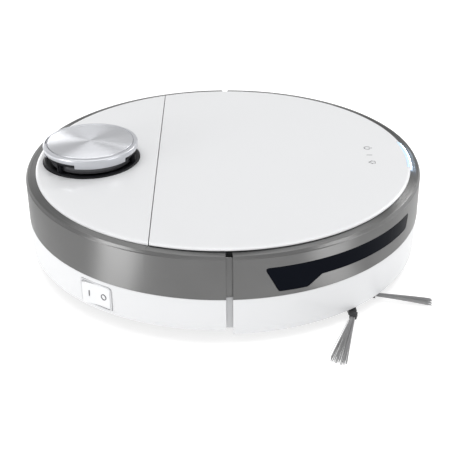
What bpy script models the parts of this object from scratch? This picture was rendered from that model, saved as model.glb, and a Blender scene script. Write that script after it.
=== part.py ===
"""Robot vacuum cleaner: sprung bumper, hinged lid, lift-out dust bin, LiDAR turret, brushes and wheels.

The robot drives towards +X and its right side is at -Y. Sizes are in millimetres, measured from the
middle of the body on the floor, and MM turns them into metres. ROOT_Y puts the middle of the whole
outline, side brush included, on the origin.
"""

import math

import bmesh
import bpy
from mathutils import Matrix, Vector

MM = 0.001
GAP = 0.3
ROOT_Y = 14.8
STEP = 5.0  # degrees between the points of a large arc

# The round body
BODY_RADIUS = 175.0
WALL_INNER = 172.2
BAND_BOTTOM = 42.0
RIM_TOP = 79.8
RIM_UNDERSIDE = 77.3
FLANGE_INNER = 164.5
TOP_RADIUS = 166.3
TOP_UNDERSIDE = 80.3
TOP_EDGE = 82.4
TOP_CENTRE = 83.4
COVER_FRONT_X = -59.5
LID_REAR_X = -58.3
BUMPER_REAR_X = 5.5
BUMPER_BOTTOM = 9.0
REAR_BOTTOM = 13.6

# The chassis
PAN_BOTTOM = 10.0
PAN_FLOOR = 12.5
PAN_WALL_TOP = 73.0
PAN_FRONT_RADIUS = 160.0
PAN_REAR_RADIUS = 168.5
DECK_BOTTOM = 73.4
DECK_TOP = 76.0

# The lid's hinge and the bumper
LID_HINGE = Vector((-56.6, 0.0, 81.4))
HINGE_PIN_RADIUS = 0.7
SPRING_Y = 95.0

# The lidar turret
TURRET = Vector((-118.0, 0.0, 0.0))
CAP_RADIUS = 42.0
CAP_TOP = 99.4
BODY_HEIGHT = 99.8

# The dust bin: low and high corners
BIN_LOW = Vector((-16.0, -81.5, 16.0))
BIN_HIGH = Vector((54.0, 27.5, 70.0))
BIN_WALL = 1.8
HANDLE_PIVOT = Vector((8.0, 0.0, 77.0))

# The main brush, which turns about Y
BRUSH = Vector((-69.0, 0.0, 23.0))
BRUSH_RADIUS = 20.5
BRUSH_HALF = 82.0

# The drive wheels
AXLE = Vector((-5.0, 0.0, 35.0))
WHEEL_RADIUS = 35.0
ARM_PIVOT = Vector((38.0, 0.0, 32.0))

# The front caster
CASTER = Vector((128.0, 0.0, 0.0))
CASTER_WHEEL = Vector((124.5, 0.0, 10.0))
CASTER_RADIUS = 10.0

# The side brush: (direction of the arm, direction of the tuft, length of the tuft)
SIDE_BRUSH = Vector((101.5, -122.0, 0.0))
SIDE_ARM_REACH = 20.0
TUFTS = ((-85.0, -108.6, 61.4), (23.0, -9.0, 50.6), (143.0, 123.0, 53.0))

# The suction fan, the battery and the power switch
FAN = Vector((18.0, 0.0, 42.0))
FAN_RADIUS = 25.0
BATTERY_X = (61.5, 102.5)
BATTERY_HALF = 37.5
SWITCH_ANGLE = -126.4
SWITCH_Z = 27.0
ROCKER_PIVOT_RADIUS = 169.8
ROCKER_REACH = 13.9

# Colour, roughness and metallic value of each material
MATERIALS = {
    "white_shell": ((0.86, 0.87, 0.88), 0.22, 0.0),
    "silver_band": ((0.46, 0.46, 0.47), 0.35, 1.0),
    "spun_disc": ((0.62, 0.62, 0.63), 0.25, 1.0),
    "silver_plastic": ((0.60, 0.61, 0.62), 0.35, 0.0),
    "black_gloss": ((0.012, 0.012, 0.014), 0.08, 0.0),
    "black_plastic": ((0.03, 0.03, 0.032), 0.5, 0.0),
    "grey_plastic": ((0.20, 0.21, 0.22), 0.5, 0.0),
    "smoked_plastic": ((0.10, 0.10, 0.11), 0.2, 0.0),
    "white_light": ((0.80, 0.90, 1.00), 0.3, 0.0),
    "rubber": ((0.02, 0.02, 0.02), 0.8, 0.0),
    "bristle": ((0.22, 0.22, 0.23), 0.7, 0.0),
    "fin_rubber": ((0.55, 0.10, 0.03), 0.6, 0.0),
    "steel": ((0.55, 0.55, 0.56), 0.3, 1.0),
    "filter_paper": ((0.75, 0.76, 0.74), 0.9, 0.0),
    "circuit": ((0.02, 0.16, 0.07), 0.4, 0.0),
    "battery_sleeve": ((0.02, 0.08, 0.30), 0.35, 0.0),
}


def clear_scene():
    for found in list(bpy.data.objects):
        bpy.data.objects.remove(found, do_unlink=True)


def new_collection(name, hidden=False):
    found = bpy.data.collections.new(name)
    found.hide_render = hidden
    bpy.context.scene.collection.children.link(found)
    return found


def make_material(name):
    colour, roughness, metallic = MATERIALS[name]
    made = bpy.data.materials.new(name)
    made.use_nodes = True
    shader = made.node_tree.nodes["Principled BSDF"]
    shader.inputs["Base Color"].default_value = (*colour, 1.0)
    shader.inputs["Roughness"].default_value = roughness
    shader.inputs["Metallic"].default_value = metallic
    return made


clear_scene()
PARTS = new_collection("robot_vacuum")
CUTTERS = new_collection("cutters", hidden=True)
ROOT = bpy.data.objects.new("robot_vacuum_root", None)
PARTS.objects.link(ROOT)


# --- Outlines: lists of (x, y) ---


def arc(radius, start, end, step=STEP, centre=(0.0, 0.0)):
    count = max(1, math.ceil(abs(end - start) / step - 1e-6))
    angles = [math.radians(start + (end - start) * i / count) for i in range(count + 1)]
    return [(centre[0] + radius * math.cos(a), centre[1] + radius * math.sin(a)) for a in angles]


def circle(radius, centre=(0.0, 0.0), sides=32):
    return arc(radius, 0, 360, 360 / sides, centre)[:-1]


def rectangle(x, y, corner=0.0):
    """A rectangle from the pairs x and y, with round corners if corner is over 0."""
    if corner == 0:
        return [(x[0], y[0]), (x[1], y[0]), (x[1], y[1]), (x[0], y[1])]
    corners = ((x[1], y[0], -90), (x[1], y[1], 0), (x[0], y[1], 90), (x[0], y[0], 180))
    points = []
    for at_x, at_y, start in corners:
        centre_x = x[1] - corner if at_x == x[1] else x[0] + corner
        centre_y = y[1] - corner if at_y == y[1] else y[0] + corner
        points += arc(corner, start, start + 90, 30, (centre_x, centre_y))
    return points


def capsule(first, first_radius, second, second_radius, step=15):
    """Two circles and the straight sides between them."""
    along = Vector(second) - Vector(first)
    tilt = math.degrees(math.acos((first_radius - second_radius) / along.length))
    heading = math.degrees(math.atan2(along.y, along.x))
    return arc(first_radius, heading + tilt, heading + 360 - tilt, step, first) + arc(
        second_radius, heading - tilt, heading + tilt, step, second
    )


def body_outline(front, rear, step_x=0.0):
    """The chassis's plan: a part disc of one radius in front of step_x and a larger one behind."""
    front_end = math.degrees(math.acos(step_x / front))
    rear_end = math.degrees(math.acos(step_x / rear))
    return arc(front, -front_end, front_end) + arc(rear, rear_end, 360 - rear_end)


def toothed(inner, outer, count, sweep=0.0):
    """A star of `count` straight vanes, each leaning back by `sweep` degrees at its tip."""
    pitch = 360 / count
    points = []
    for i in range(count):
        base = pitch * i
        tip = base + pitch - sweep
        points += arc(inner, base + 12, base + pitch - 12, 20)
        points += arc(outer, tip - 5, tip + 5, 10)
    return points


# --- Solids ---


def link(obj, material, name):
    obj.name = name
    if material:
        obj.data.materials.clear()
        obj.data.materials.append(bpy.data.materials.get(material) or make_material(material))
        PARTS.objects.link(obj)
    else:
        obj.display_type = "WIRE"
        obj.hide_render = True
        CUTTERS.objects.link(obj)
    obj.parent = ROOT
    return obj


def finished(mesh, material, name):
    mesh.shade_smooth()
    mesh.set_sharp_from_angle(angle=math.radians(30))
    return link(bpy.data.objects.new(name, mesh), material, name)


AXES = {
    "Z": Matrix.Identity(4),
    "Y": Matrix(((1, 0, 0, 0), (0, 0, -1, 0), (0, 1, 0, 0), (0, 0, 0, 1))),
}


def prism(name, material, outlines, low, high, axis="Z"):
    """Outlines (the first is the rim, the rest are holes) drawn out from low to high.

    Along Z an outline holds (x, y) and along Y it holds (x, z).
    """
    if axis == "Y":
        low, high = -high, -low
    curve = bpy.data.curves.new(name, "CURVE")
    curve.dimensions = "2D"
    curve.fill_mode = "BOTH"
    curve.extrude = (high - low) / 2 * MM
    for outline in outlines:
        spline = curve.splines.new("POLY")
        spline.points.add(len(outline) - 1)
        for point, (u, v) in zip(spline.points, outline):
            point.co = (u * MM, v * MM, 0.0, 1.0)
        spline.use_cyclic_u = True
    drawn = bpy.data.objects.new(name, curve)
    drawn.matrix_world = AXES[axis] @ Matrix.Translation((0, 0, (low + high) / 2 * MM))
    mesh = mesh_of_curve(drawn)
    return finished(mesh, material, name)


def mesh_of_curve(drawn):
    """The curve's mesh, with its caps welded to its sides, where the curve stands."""
    bpy.context.scene.collection.objects.link(drawn)
    bpy.context.view_layer.update()
    evaluated = drawn.evaluated_get(bpy.context.evaluated_depsgraph_get())
    mesh = bpy.data.meshes.new_from_object(evaluated)
    mesh.transform(drawn.matrix_world)
    work = bmesh.new()
    work.from_mesh(mesh)
    bmesh.ops.remove_doubles(work, verts=work.verts, dist=1e-6)
    bmesh.ops.recalc_face_normals(work, faces=work.faces)
    work.to_mesh(mesh)
    work.free()
    bpy.data.objects.remove(drawn, do_unlink=True)
    return mesh


def box(name, material, low, high, corner=0.0):
    outline = rectangle((low[0], high[0]), (low[1], high[1]), corner)
    return prism(name, material, [outline], low[2], high[2])


def turned(name, material, profile, centre=(0.0, 0.0, 0.0), axis="Z", steps=48):
    """A profile of (radius, height) points, running down its outer side, turned about an axis.

    A profile that starts and ends on the axis is left open there, and any other is a closed ring.
    """
    mesh = bpy.data.meshes.new(name)
    points = [(radius * MM, 0.0, height * MM) for radius, height in profile]
    edges = [(i, i + 1) for i in range(len(points) - 1)]
    if profile[0][0] > 0:
        edges.append((len(points) - 1, 0))
    mesh.from_pydata(points, edges, [])
    obj = finished(mesh, material, name)
    turn = {"Z": Matrix.Identity(3), "Y": Matrix.Rotation(math.radians(-90), 3, "X")}[axis]
    obj.matrix_local = Matrix.Translation(Vector(centre) * MM) @ turn.to_4x4()
    screw = obj.modifiers.new("turn", "SCREW")
    screw.steps = steps
    screw.render_steps = steps
    screw.use_merge_vertices = True
    screw.merge_threshold = 1e-6
    screw.use_smooth_shade = True
    return obj


def sector(name, material, profile, start, end, step=STEP):
    """A closed profile of (radius, height) points swept about Z from one angle to another."""
    work = bmesh.new()
    turn = Matrix.Rotation(math.radians(start), 4, "Z")
    corners = [work.verts.new(turn @ Vector((r * MM, 0.0, z * MM))) for r, z in profile]
    face = work.faces.new(corners)
    bmesh.ops.spin(
        work,
        geom=[face, *face.edges, *face.verts],
        cent=(0, 0, 0),
        axis=(0, 0, 1),
        angle=math.radians(end - start),
        steps=max(1, round((end - start) / step)),
        use_duplicate=False,
    )
    bmesh.ops.remove_doubles(work, verts=work.verts, dist=1e-6)
    bmesh.ops.recalc_face_normals(work, faces=work.faces)
    mesh = bpy.data.meshes.new(name)
    work.to_mesh(mesh)
    work.free()
    return finished(mesh, material, name)


def coil(name, start, length, radius, wire, turns, axis):
    """A coil spring along X or Z from its first end."""
    per_turn = 7
    count = int(turns * per_turn) + 1
    curve = bpy.data.curves.new(name, "CURVE")
    curve.dimensions = "3D"
    curve.bevel_depth = wire * MM
    curve.bevel_resolution = 0
    curve.use_fill_caps = True
    spline = curve.splines.new("POLY")
    spline.points.add(count - 1)
    for i, point in enumerate(spline.points):
        angle = 2 * math.pi * i / per_turn
        round_part = Vector((radius * math.cos(angle), radius * math.sin(angle), length * i / (count - 1)))
        if axis == "X":
            round_part = Vector((round_part.z, round_part.x, round_part.y))
        point.co = (*((Vector(start) + round_part) * MM), 1.0)
    mesh = mesh_of_curve(bpy.data.objects.new(name, curve))
    return finished(mesh, "steel", name)


def boolean(target, other, operation):
    modifier = target.modifiers.new(other.name, "BOOLEAN")
    modifier.operation = operation
    modifier.object = other
    return target


def cut(target, *cutters):
    for cutter in cutters:
        boolean(target, cutter, "DIFFERENCE")
    return target


def join(target, *others):
    for other in others:
        boolean(target, other, "UNION")
    return target


def keep(target, region):
    return boolean(target, region, "INTERSECT")


def turn_about(obj, centre, degrees, axis="Z"):
    """Turns an object about an axis through a point."""
    at = Vector(centre) * MM
    turn = Matrix.Rotation(math.radians(degrees), 4, axis)
    obj.matrix_local = Matrix.Translation(at) @ turn @ Matrix.Translation(-at) @ obj.matrix_local
    return obj


def radial_box(name, material, angle, radii, half_width, heights):
    """A box that faces outwards at an angle round the body."""
    made = box(name, material, (radii[0], -half_width, heights[0]), (radii[1], half_width, heights[1]))
    return turn_about(made, (0, 0, 0), angle)


def pivot(name, at, objects, parent=None):
    """An empty on a joint's axis, which carries the objects of one moving body."""
    bpy.context.view_layer.update()
    empty = bpy.data.objects.new(name, None)
    PARTS.objects.link(empty)
    empty.parent = parent or ROOT
    empty.location = Vector(at) * MM
    if parent:
        empty.location -= parent.matrix_world.translation
    bpy.context.view_layer.update()
    for obj in objects:
        obj.parent = empty
        obj.matrix_parent_inverse = empty.matrix_world.inverted()
    return empty


# --- The chassis ---


def wheel_well(side):
    """The walls of one wheel well, as (rim, hole) outlines, and the hole in the floor below it."""
    inner, outer = sorted((side * 87.6, side * 129.4))
    rim = rectangle((-44.5, 50.5), (inner - 1.8, outer + 1.8))
    hole = rectangle((-42.7, 48.7), (inner, outer))
    opening = rectangle((-42.2, 48.2), (inner + 0.5, outer - 0.5))
    return rim, hole, opening


def side_brush_pocket(grow):
    motor = (88.0, -104.0)
    return capsule(SIDE_BRUSH.xy[:], 5.2 + grow, motor, 10.8 + grow)


def build_base_pan():
    openings = [wheel_well(side)[2] for side in (-1, 1)]
    openings.append(rectangle((-89.9, -48.1), (-87.0, 87.0)))
    openings.append(rectangle((61.0, 103.0), (-40.5, 40.5)))
    openings.append(circle(20.8, CASTER.xy))
    outline = body_outline(PAN_FRONT_RADIUS, PAN_REAR_RADIUS)
    pan = prism("base_pan", "black_plastic", [outline, *openings], PAN_BOTTOM, PAN_FLOOR)
    outer = body_outline(PAN_FRONT_RADIUS - 0.3, PAN_REAR_RADIUS - 0.3, -0.3)
    inner = body_outline(PAN_FRONT_RADIUS - 2.5, PAN_REAR_RADIUS - 2.5, -2.5)
    walls = [prism("pan_wall", None, [outer, inner], PAN_BOTTOM + 0.5, PAN_WALL_TOP)]
    for side, word in ((-1, "right"), (1, "left")):
        rim, hole, _ = wheel_well(side)
        walls.append(prism(f"well_{word}", None, [rim, hole], PAN_BOTTOM + 0.5, PAN_WALL_TOP - 0.5))
    bay = [rectangle((59.0, 105.0), (-42.5, 42.5)), rectangle((60.5, 103.5), (-41.0, 41.0))]
    walls.append(prism("battery_bay", None, bay, PAN_BOTTOM + 0.5, 54.0))
    walls.append(prism("side_brush_boss", None, [side_brush_pocket(2.2)], PAN_BOTTOM + 0.2, 26.0))
    join(pan, *walls)
    cut(pan, prism("side_brush_pocket", None, [side_brush_pocket(0.3)], PAN_FLOOR - 0.1, 32.0))
    cut(pan, prism("spindle_hole", None, [circle(3.0, SIDE_BRUSH.xy, 16)], 8.0, 14.0))
    for side, word in ((-1, "right"), (1, "left")):
        low, high = sorted((side * 15.0, side * 37.0))
        cut(pan, box(f"contact_pocket_{word}", None, (-156.0, low, 9.0), (-142.0, high, 11.2)))


def build_upper_deck():
    outline = body_outline(162.0, 168.5)
    bin_hole = rectangle((BIN_LOW.x - 1.5, BIN_HIGH.x + 1.5), (BIN_LOW.y - 1.5, BIN_HIGH.y + 1.5), 4)
    rotor_hole = circle(33.0, TURRET.xy)
    return prism("upper_deck", "grey_plastic", [outline, bin_hole, rotor_hole], DECK_BOTTOM, DECK_TOP)


def build_bin_well():
    outer = rectangle((BIN_LOW.x - 3.1, BIN_HIGH.x + 3.1), (BIN_LOW.y - 3.1, BIN_HIGH.y + 3.1), 4)
    well = prism("bin_well", "grey_plastic", [outer], 13.2, DECK_BOTTOM - GAP)
    room = rectangle((BIN_LOW.x - 1.5, BIN_HIGH.x + 1.5), (BIN_LOW.y - 1.5, BIN_HIGH.y + 1.5), 3)
    cut(well, prism("well_room", None, [room], 14.8, 80.0))
    cut(well, box("well_mouth", None, (-24.0, -50.0, 34.0), (-14.0, 0.0, 50.0)))
    cut(well, prism("well_vent", None, [circle(12.0, (FAN.x, FAN.z), 24)], 26.0, 34.0, "Y"))
    return well


# --- The shells ---


def window_outline(grow):
    """The side window seen from the side, as (x, z), with its edges moved out by `grow`."""
    low, step, high = 46.0, 54.6, 67.9
    return [
        (29.6 - grow, high + grow),
        (41.0 - grow, low - grow),
        (63.5 + grow, low - grow),
        (75.0 + grow, step - grow),
        (151.5 + grow, step - grow),
        (153.5 + grow, high + grow),
    ]


def side_wall(name, material, side, inner, outer):
    """The stretch of the band that holds one side's window."""
    start, end = (-86, -24) if side < 0 else (24, 86)
    return sector(name, material, [(inner, 44), (outer, 44), (outer, 70), (inner, 70)], start, end, 2)


def band_profile():
    return [
        (WALL_INNER, BAND_BOTTOM),
        (BODY_RADIUS, BAND_BOTTOM),
        (BODY_RADIUS, RIM_TOP - 2.5),
        (173.5, RIM_TOP),
        (FLANGE_INNER, RIM_TOP),
        (FLANGE_INNER, RIM_UNDERSIDE),
        (WALL_INNER, RIM_UNDERSIDE),
    ]


BUMPER_HALF_ANGLE = math.degrees(math.acos(BUMPER_REAR_X / BODY_RADIUS))


def build_bumper():
    band = sector("bumper_band", "silver_band", band_profile(), -BUMPER_HALF_ANGLE, BUMPER_HALF_ANGLE)
    skirt_profile = [
        (171.4, BUMPER_BOTTOM),
        (173.2, BUMPER_BOTTOM),
        (174.5, BAND_BOTTOM - GAP),
        (WALL_INNER - 0.4, BAND_BOTTOM - GAP),
    ]
    skirt = sector("bumper_skirt", "white_shell", skirt_profile, -BUMPER_HALF_ANGLE, BUMPER_HALF_ANGLE)
    moving = [band, skirt]
    for side, word in ((-1, "right"), (1, "left")):
        reach = (-190.0, -60.0) if side < 0 else (60.0, 190.0)
        hole = side_wall(f"window_hole_{word}", None, side, WALL_INNER - 1, BODY_RADIUS + 1)
        keep(hole, prism(f"hole_region_{word}", None, [window_outline(GAP)], *reach, "Y"))
        cut(band, hole)
        pane = side_wall(f"bumper_window_{word}", "black_gloss", side, WALL_INNER + 0.2, BODY_RADIUS)
        keep(pane, prism(f"pane_region_{word}", None, [window_outline(0.0)], *reach, "Y"))
        moving.append(pane)
    pivot("bumper_slide", (BODY_RADIUS, 0, 60), moving)
    for side, word in ((-1, "right"), (1, "left")):
        foot = math.sqrt(PAN_FRONT_RADIUS**2 - SPRING_Y**2) + 4.5
        coil(f"bumper_spring_{word}", (foot, side * SPRING_Y, 60.0), 7.4, 3.4, 0.45, 4, "X")


def build_rear_shell():
    skirt_profile = [
        (WALL_INNER - 0.4, REAR_BOTTOM),
        (174.2, REAR_BOTTOM),
        (174.6, BAND_BOTTOM - GAP),
        (WALL_INNER - 0.4, BAND_BOTTOM - GAP),
    ]
    skirt = sector("rear_skirt", "white_shell", skirt_profile, 90, 270)
    hole = radial_box("switch_hole", None, SWITCH_ANGLE, (160, 185), 16.6, (15.7, 38.3))
    cut(skirt, hole)
    band = sector("rear_band", "silver_band", band_profile(), 90, 270)
    relief_profile = [(160.0, 78.7), (166.2, 78.7), (166.2, 84.0), (160.0, 84.0)]
    for start, word in ((108.2, "left"), (248.4, "right")):
        cut(band, sector(f"hinge_relief_{word}", None, relief_profile, start, start + 3.4, 3.4))
    for start, word in ((86.5, "left"), (268.0, "right")):
        low = [(169.2, REAR_BOTTOM), (172.6, REAR_BOTTOM), (172.6, 41.7), (169.2, 41.7)]
        high = [(169.2, BAND_BOTTOM), (172.6, BAND_BOTTOM), (172.6, 77.0), (169.2, 77.0)]
        for wall, tongue, level in ((skirt, low, "low"), (band, high, "high")):
            whole = sector(f"tongue_{level}_{word}", None, tongue, start, start + 5.5, 5.5)
            notch = sector(
                f"tongue_relief_{level}_{word}", None,
                [(170.6, 10), (176.0, 10), (176.0, 82), (170.6, 82)],
                start - 1 if start < 90 else 270, 90 if start < 90 else start + 7, 5,
            )
            cut(whole, notch)
            join(wall, whole)


def top_plate(name, material):
    """The crowned disc that the lid and the rear cover are cut from."""
    half = TOP_RADIUS * 0.6
    sag = (TOP_CENTRE - TOP_EDGE) * 0.36
    profile = [
        (0.0, TOP_CENTRE),
        (half, TOP_CENTRE - sag),
        (TOP_RADIUS - 1.2, TOP_EDGE),
        (TOP_RADIUS, TOP_EDGE - 1.0),
        (TOP_RADIUS, TOP_UNDERSIDE),
        (0.0, TOP_UNDERSIDE),
    ]
    return turned(name, material, profile, steps=72)


def build_rear_cover():
    cover = top_plate("rear_cover", "white_shell")
    keep(cover, box("rear_region", None, (-200, -200, 70), (COVER_FRONT_X, 200, 90)))
    return cut(cover, prism("turret_hole", None, [circle(43.4, TURRET.xy, 48)], 70, 90))


def build_lid():
    lid = top_plate("lid", "white_shell")
    keep(lid, box("lid_region", None, (LID_REAR_X, -200, 70), (200, 200, 90)))
    channel = (LID_HINGE.x - 5.0, LID_HINGE.x + 1.4)
    cut(lid, box("pin_channel", None, (channel[0], -125, 79), (channel[1], 125, 82.3)))
    light_profile = [(163.6, 79.0), (168.0, 79.0), (168.0, 84.0), (163.6, 84.0)]
    cut(lid, sector("light_notch", None, light_profile, -10.7, 10.7, 3))
    lens_profile = [(164.0, 80.4), (166.4, 80.4), (166.4, 81.6), (165.6, 82.3), (164.0, 82.3)]
    light = sector("status_light", "white_light", lens_profile, -10.5, 10.5, 3)
    board = box("touch_board", "circuit", (119.0, -26.0, 78.2), (144.0, 26.0, 80.0), 2.0)
    pivot("lid_axis", LID_HINGE, [lid, light, board])
    rod = circle(HINGE_PIN_RADIUS, (LID_HINGE.x, LID_HINGE.z), 12)
    prism("lid_hinge_pin", "steel", [rod], -124.0, 124.0, "Y")


# --- The turret ---


def build_turret():
    centre = TURRET[:]
    base_profile = [(42.8, 83.6), (42.8, 76.3), (34.0, 76.3), (34.0, 82.4), (39.0, 83.6)]
    base = turned("turret_base", "black_plastic", base_profile, centre)
    for number, angle in enumerate((-150.0, -62.0, 75.0)):
        post = box(f"turret_post_{number}", None, (36.9, -3.0, 78.0), (40.6, 3.0, 90.0))
        post.matrix_local = Matrix.Translation(TURRET * MM) @ Matrix.Rotation(math.radians(angle), 4, "Z")
        join(base, post)
    window_profile = [(36.4, 96.2), (36.4, 84.4), (35.4, 84.4), (35.4, 96.2)]
    turned("turret_window", "smoked_plastic", window_profile, centre, steps=36)
    cap_profile = [
        (0.0, 98.6),
        (36.6, 98.6),
        (36.6, CAP_TOP),
        (41.2, CAP_TOP),
        (CAP_RADIUS, 98.6),
        (CAP_RADIUS, 90.4),
        (38.8, 90.4),
        (38.8, 96.6),
        (0.0, 96.6),
    ]
    turned("turret_cap", "silver_plastic", cap_profile, centre)
    disc_profile = [(0.0, BODY_HEIGHT), (35.8, BODY_HEIGHT), (36.2, 98.9), (0.0, 98.9)]
    turned("turret_disc", "spun_disc", disc_profile, centre)
    rotor_profile = [(0.0, 95.6), (31.0, 95.6), (31.0, 86.5), (12.0, 84.5), (12.0, 66.0), (0.0, 66.0)]
    rotor = turned("lidar_rotor", "black_plastic", rotor_profile, centre, steps=36)
    eyes = box("rotor_eyes", None, (-98.0, -15.0, 87.5), (-80.0, 15.0, 93.5))
    cut(rotor, eyes)
    pivot("lidar_axis", TURRET, [rotor])
    motor_profile = [(22.0, 72.0), (22.0, 61.0), (5.0, 61.0), (5.0, 63.0), (14.0, 63.0), (14.0, 72.0)]
    turned("lidar_motor", "black_plastic", motor_profile, centre, steps=24)


# --- The dust bin ---


def build_dust_bin():
    outline = rectangle((BIN_LOW.x, BIN_HIGH.x), (BIN_LOW.y, BIN_HIGH.y), 4)
    bin_box = prism("dust_bin", "smoked_plastic", [outline], BIN_LOW.z, BIN_HIGH.z)
    inside_x = (BIN_LOW.x + BIN_WALL, BIN_HIGH.x - BIN_WALL)
    inside_y = (BIN_LOW.y + BIN_WALL, BIN_HIGH.y - BIN_WALL)
    inside = rectangle(inside_x, inside_y, 3)
    cut(bin_box, prism("bin_room", None, [inside], BIN_LOW.z + BIN_WALL, 90))
    cut(bin_box, box("bin_mouth", None, (-20.0, -49.0, 35.0), (-10.0, -1.0, 49.0)))
    cut(bin_box, box("filter_hole", None, (-6.0, 24.0, 24.0), (44.0, 30.0, 62.0)))

    cover = prism("bin_cover", "grey_plastic", [outline], BIN_HIGH.z + GAP, 75.6)
    low, high = HANDLE_PIVOT.x - 5.0, HANDLE_PIVOT.x + 34.0
    cut(cover, box("finger_dish", None, (low + 9, -48.0, 73.0), (high + 4, -6.0, 78.0), 5))
    cut(cover, box("handle_trough", None, (low + 1.8, -59.6, 74.0), (low + 8.4, 5.6, 78.0)))
    for at_y in (-62.4, 5.2):
        join(cover, box("handle_ear", None, (low, at_y, 75.0), (low + 8.5, at_y + 3.2, 79.4)))

    outer = rectangle((HANDLE_PIVOT.x - 2.0, high), (-58.8, 4.8), 1.8)
    hole = rectangle((HANDLE_PIVOT.x - 9.0, high - 6.0), (-53.8, -0.2), 1.8)
    handle = prism("bin_handle", "black_plastic", [outer], 75.9, 78.6)
    cut(handle, prism("handle_hole", None, [hole], 70, 90))

    frame_rim = rectangle((-5.4, 43.4), (24.6, 61.4))
    frame_hole = rectangle((-2.4, 40.4), (27.6, 58.4))
    prism("filter_frame", "black_plastic", [frame_rim, frame_hole], 22.0, 27.2, "Y")
    pleats = []
    count = 12
    for i in range(2 * count + 1):
        pleats.append((-2.0 + 42.0 * i / (2 * count), 26.6 if i % 2 else 23.4))
    for i in range(2 * count, -1, -1):
        pleats.append((-2.0 + 42.0 * i / (2 * count), 25.4 if i % 2 else 22.2))
    filter_pleats = prism("filter_pleats", "filter_paper", [pleats], 28.0, 58.0)
    lifted = [bin_box, cover, bpy.data.objects["filter_frame"], filter_pleats]
    bin_axis = pivot("bin_slide", (0, 0, BIN_LOW.z), lifted)
    pivot("handle_axis", HANDLE_PIVOT, [handle], bin_axis)


# --- The brushes ---


def arch(half, low, shoulder):
    """The brush housing's section: straight sides and a round top over the brush, as (x, z)."""
    return [(BRUSH.x + half, low), (BRUSH.x + half, shoulder)] + arc(
        half, 0, 180, 15, (BRUSH.x, shoulder)
    )[1:] + [(BRUSH.x - half, low)]


def build_main_brush():
    housing = prism("brush_housing", "black_plastic", [arch(22.8, 12.9, 24.5)], -90.0, 90.0, "Y")
    duct = box("duct", None, (BRUSH.x + 15.0, -52.5, 31.5), (BIN_LOW.x - 3.5, 2.5, 52.5))
    join(housing, duct)
    cut(housing, prism("brush_room", None, [arch(21.4, 10.0, 24.0)], -88.4, 88.4, "Y"))
    cut(housing, box("duct_room", None, (BRUSH.x + 12.0, -50.0, 34.0), (-10.0, 0.0, 50.0)))
    hub = circle(5.0, (BRUSH.x, BRUSH.z), 20)
    cut(housing, prism("drive_hole", None, [hub], 86.0, 92.0, "Y"))

    core_profile = [
        (0.0, 91.0), (3.0, 91.0), (3.0, BRUSH_HALF + 3), (9.0, BRUSH_HALF + 3),
        (9.0, -BRUSH_HALF - 3), (3.0, -BRUSH_HALF - 3), (3.0, -87.5), (0.0, -87.5),
    ]
    core = turned("brush_core", "black_plastic", core_profile, BRUSH[:], "Y", 24)
    star = [(BRUSH.x + x, BRUSH.z + z) for x, z in toothed(11.0, BRUSH_RADIUS, 6)]
    bore = circle(9.0 + GAP, (BRUSH.x, BRUSH.z), 24)
    fins = prism("brush_fins", "fin_rubber", [star, bore], -BRUSH_HALF, BRUSH_HALF, "Y")
    pivot("brush_axis", BRUSH, [core, fins])

    gearbox = capsule((BRUSH.x, BRUSH.z + 1.0), 10.0, (BRUSH.x - 12.0, BRUSH.z + 20.0), 13.0)
    prism("brush_gearbox", "grey_plastic", [gearbox], 91.4, 128.0, "Y")

    rim = rectangle((-100.0, -40.0), (-99.0, 99.0), 4)
    window = rectangle((-90.0, -48.0), (-84.0, 84.0), 3)
    guard = prism("brush_guard", "grey_plastic", [rim, window], 7.6, PAN_BOTTOM - GAP)
    for side, word in ((-1, "right"), (1, "left")):
        low, high = sorted((side * 52.0, side * 68.0))
        cut(guard, box(f"latch_notch_{word}", None, (-103.0, low, 5.0), (-93.4, high, 12.0)))
        latch = box(
            f"guard_latch_{word}", "black_plastic",
            (-99.4, low + 0.6, 7.9), (-96.2, high - 0.6, PAN_BOTTOM - GAP),
        )
        pivot(f"latch_slide_{word}", (-97.8, side * 60.0, 8.8), [latch])


def build_side_brush():
    centre = SIDE_BRUSH[:]
    hub_profile = [
        (0.0, 12.4), (2.4, 12.4), (2.4, 8.4), (8.0, 8.4), (9.5, 7.4), (9.5, 4.2), (7.5, 3.4), (0.0, 3.4),
    ]
    hub = turned("side_brush_hub", "black_plastic", hub_profile, centre, steps=24)
    moving = [hub]
    for number, (arm_angle, tuft_angle, length) in enumerate(TUFTS, 1):
        arm = box(f"arm_{number}", None, (7.0, -3.4, 4.4), (SIDE_ARM_REACH, 3.4, 8.2), 1.2)
        arm.matrix_local = Matrix.Translation(SIDE_BRUSH * MM) @ Matrix.Rotation(
            math.radians(arm_angle), 4, "Z"
        )
        join(hub, arm)
        foot = Vector(arc(SIDE_ARM_REACH + GAP + 2.6, arm_angle, arm_angle)[0]).to_3d()
        wedge = [(0.0, -2.2), (length, -6.0), (length + 1.5, 0.0), (length, 6.0), (0.0, 2.2)]
        tuft = prism(f"side_brush_tuft_{number}", "bristle", [wedge], -0.6, 0.6)
        slope = math.atan2(5.0, length)
        tuft.matrix_local = (
            Matrix.Translation((SIDE_BRUSH + foot + Vector((0, 0, 6.0))) * MM)
            @ Matrix.Rotation(math.radians(tuft_angle), 4, "Z")
            @ Matrix.Rotation(slope, 4, "Y")
        )
        moving.append(tuft)
    pivot("side_brush_axis", SIDE_BRUSH, moving)
    prism("side_brush_gearbox", "grey_plastic", [side_brush_pocket(0.0)], PAN_FLOOR + GAP, 30.0)


# --- The wheels ---


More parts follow.
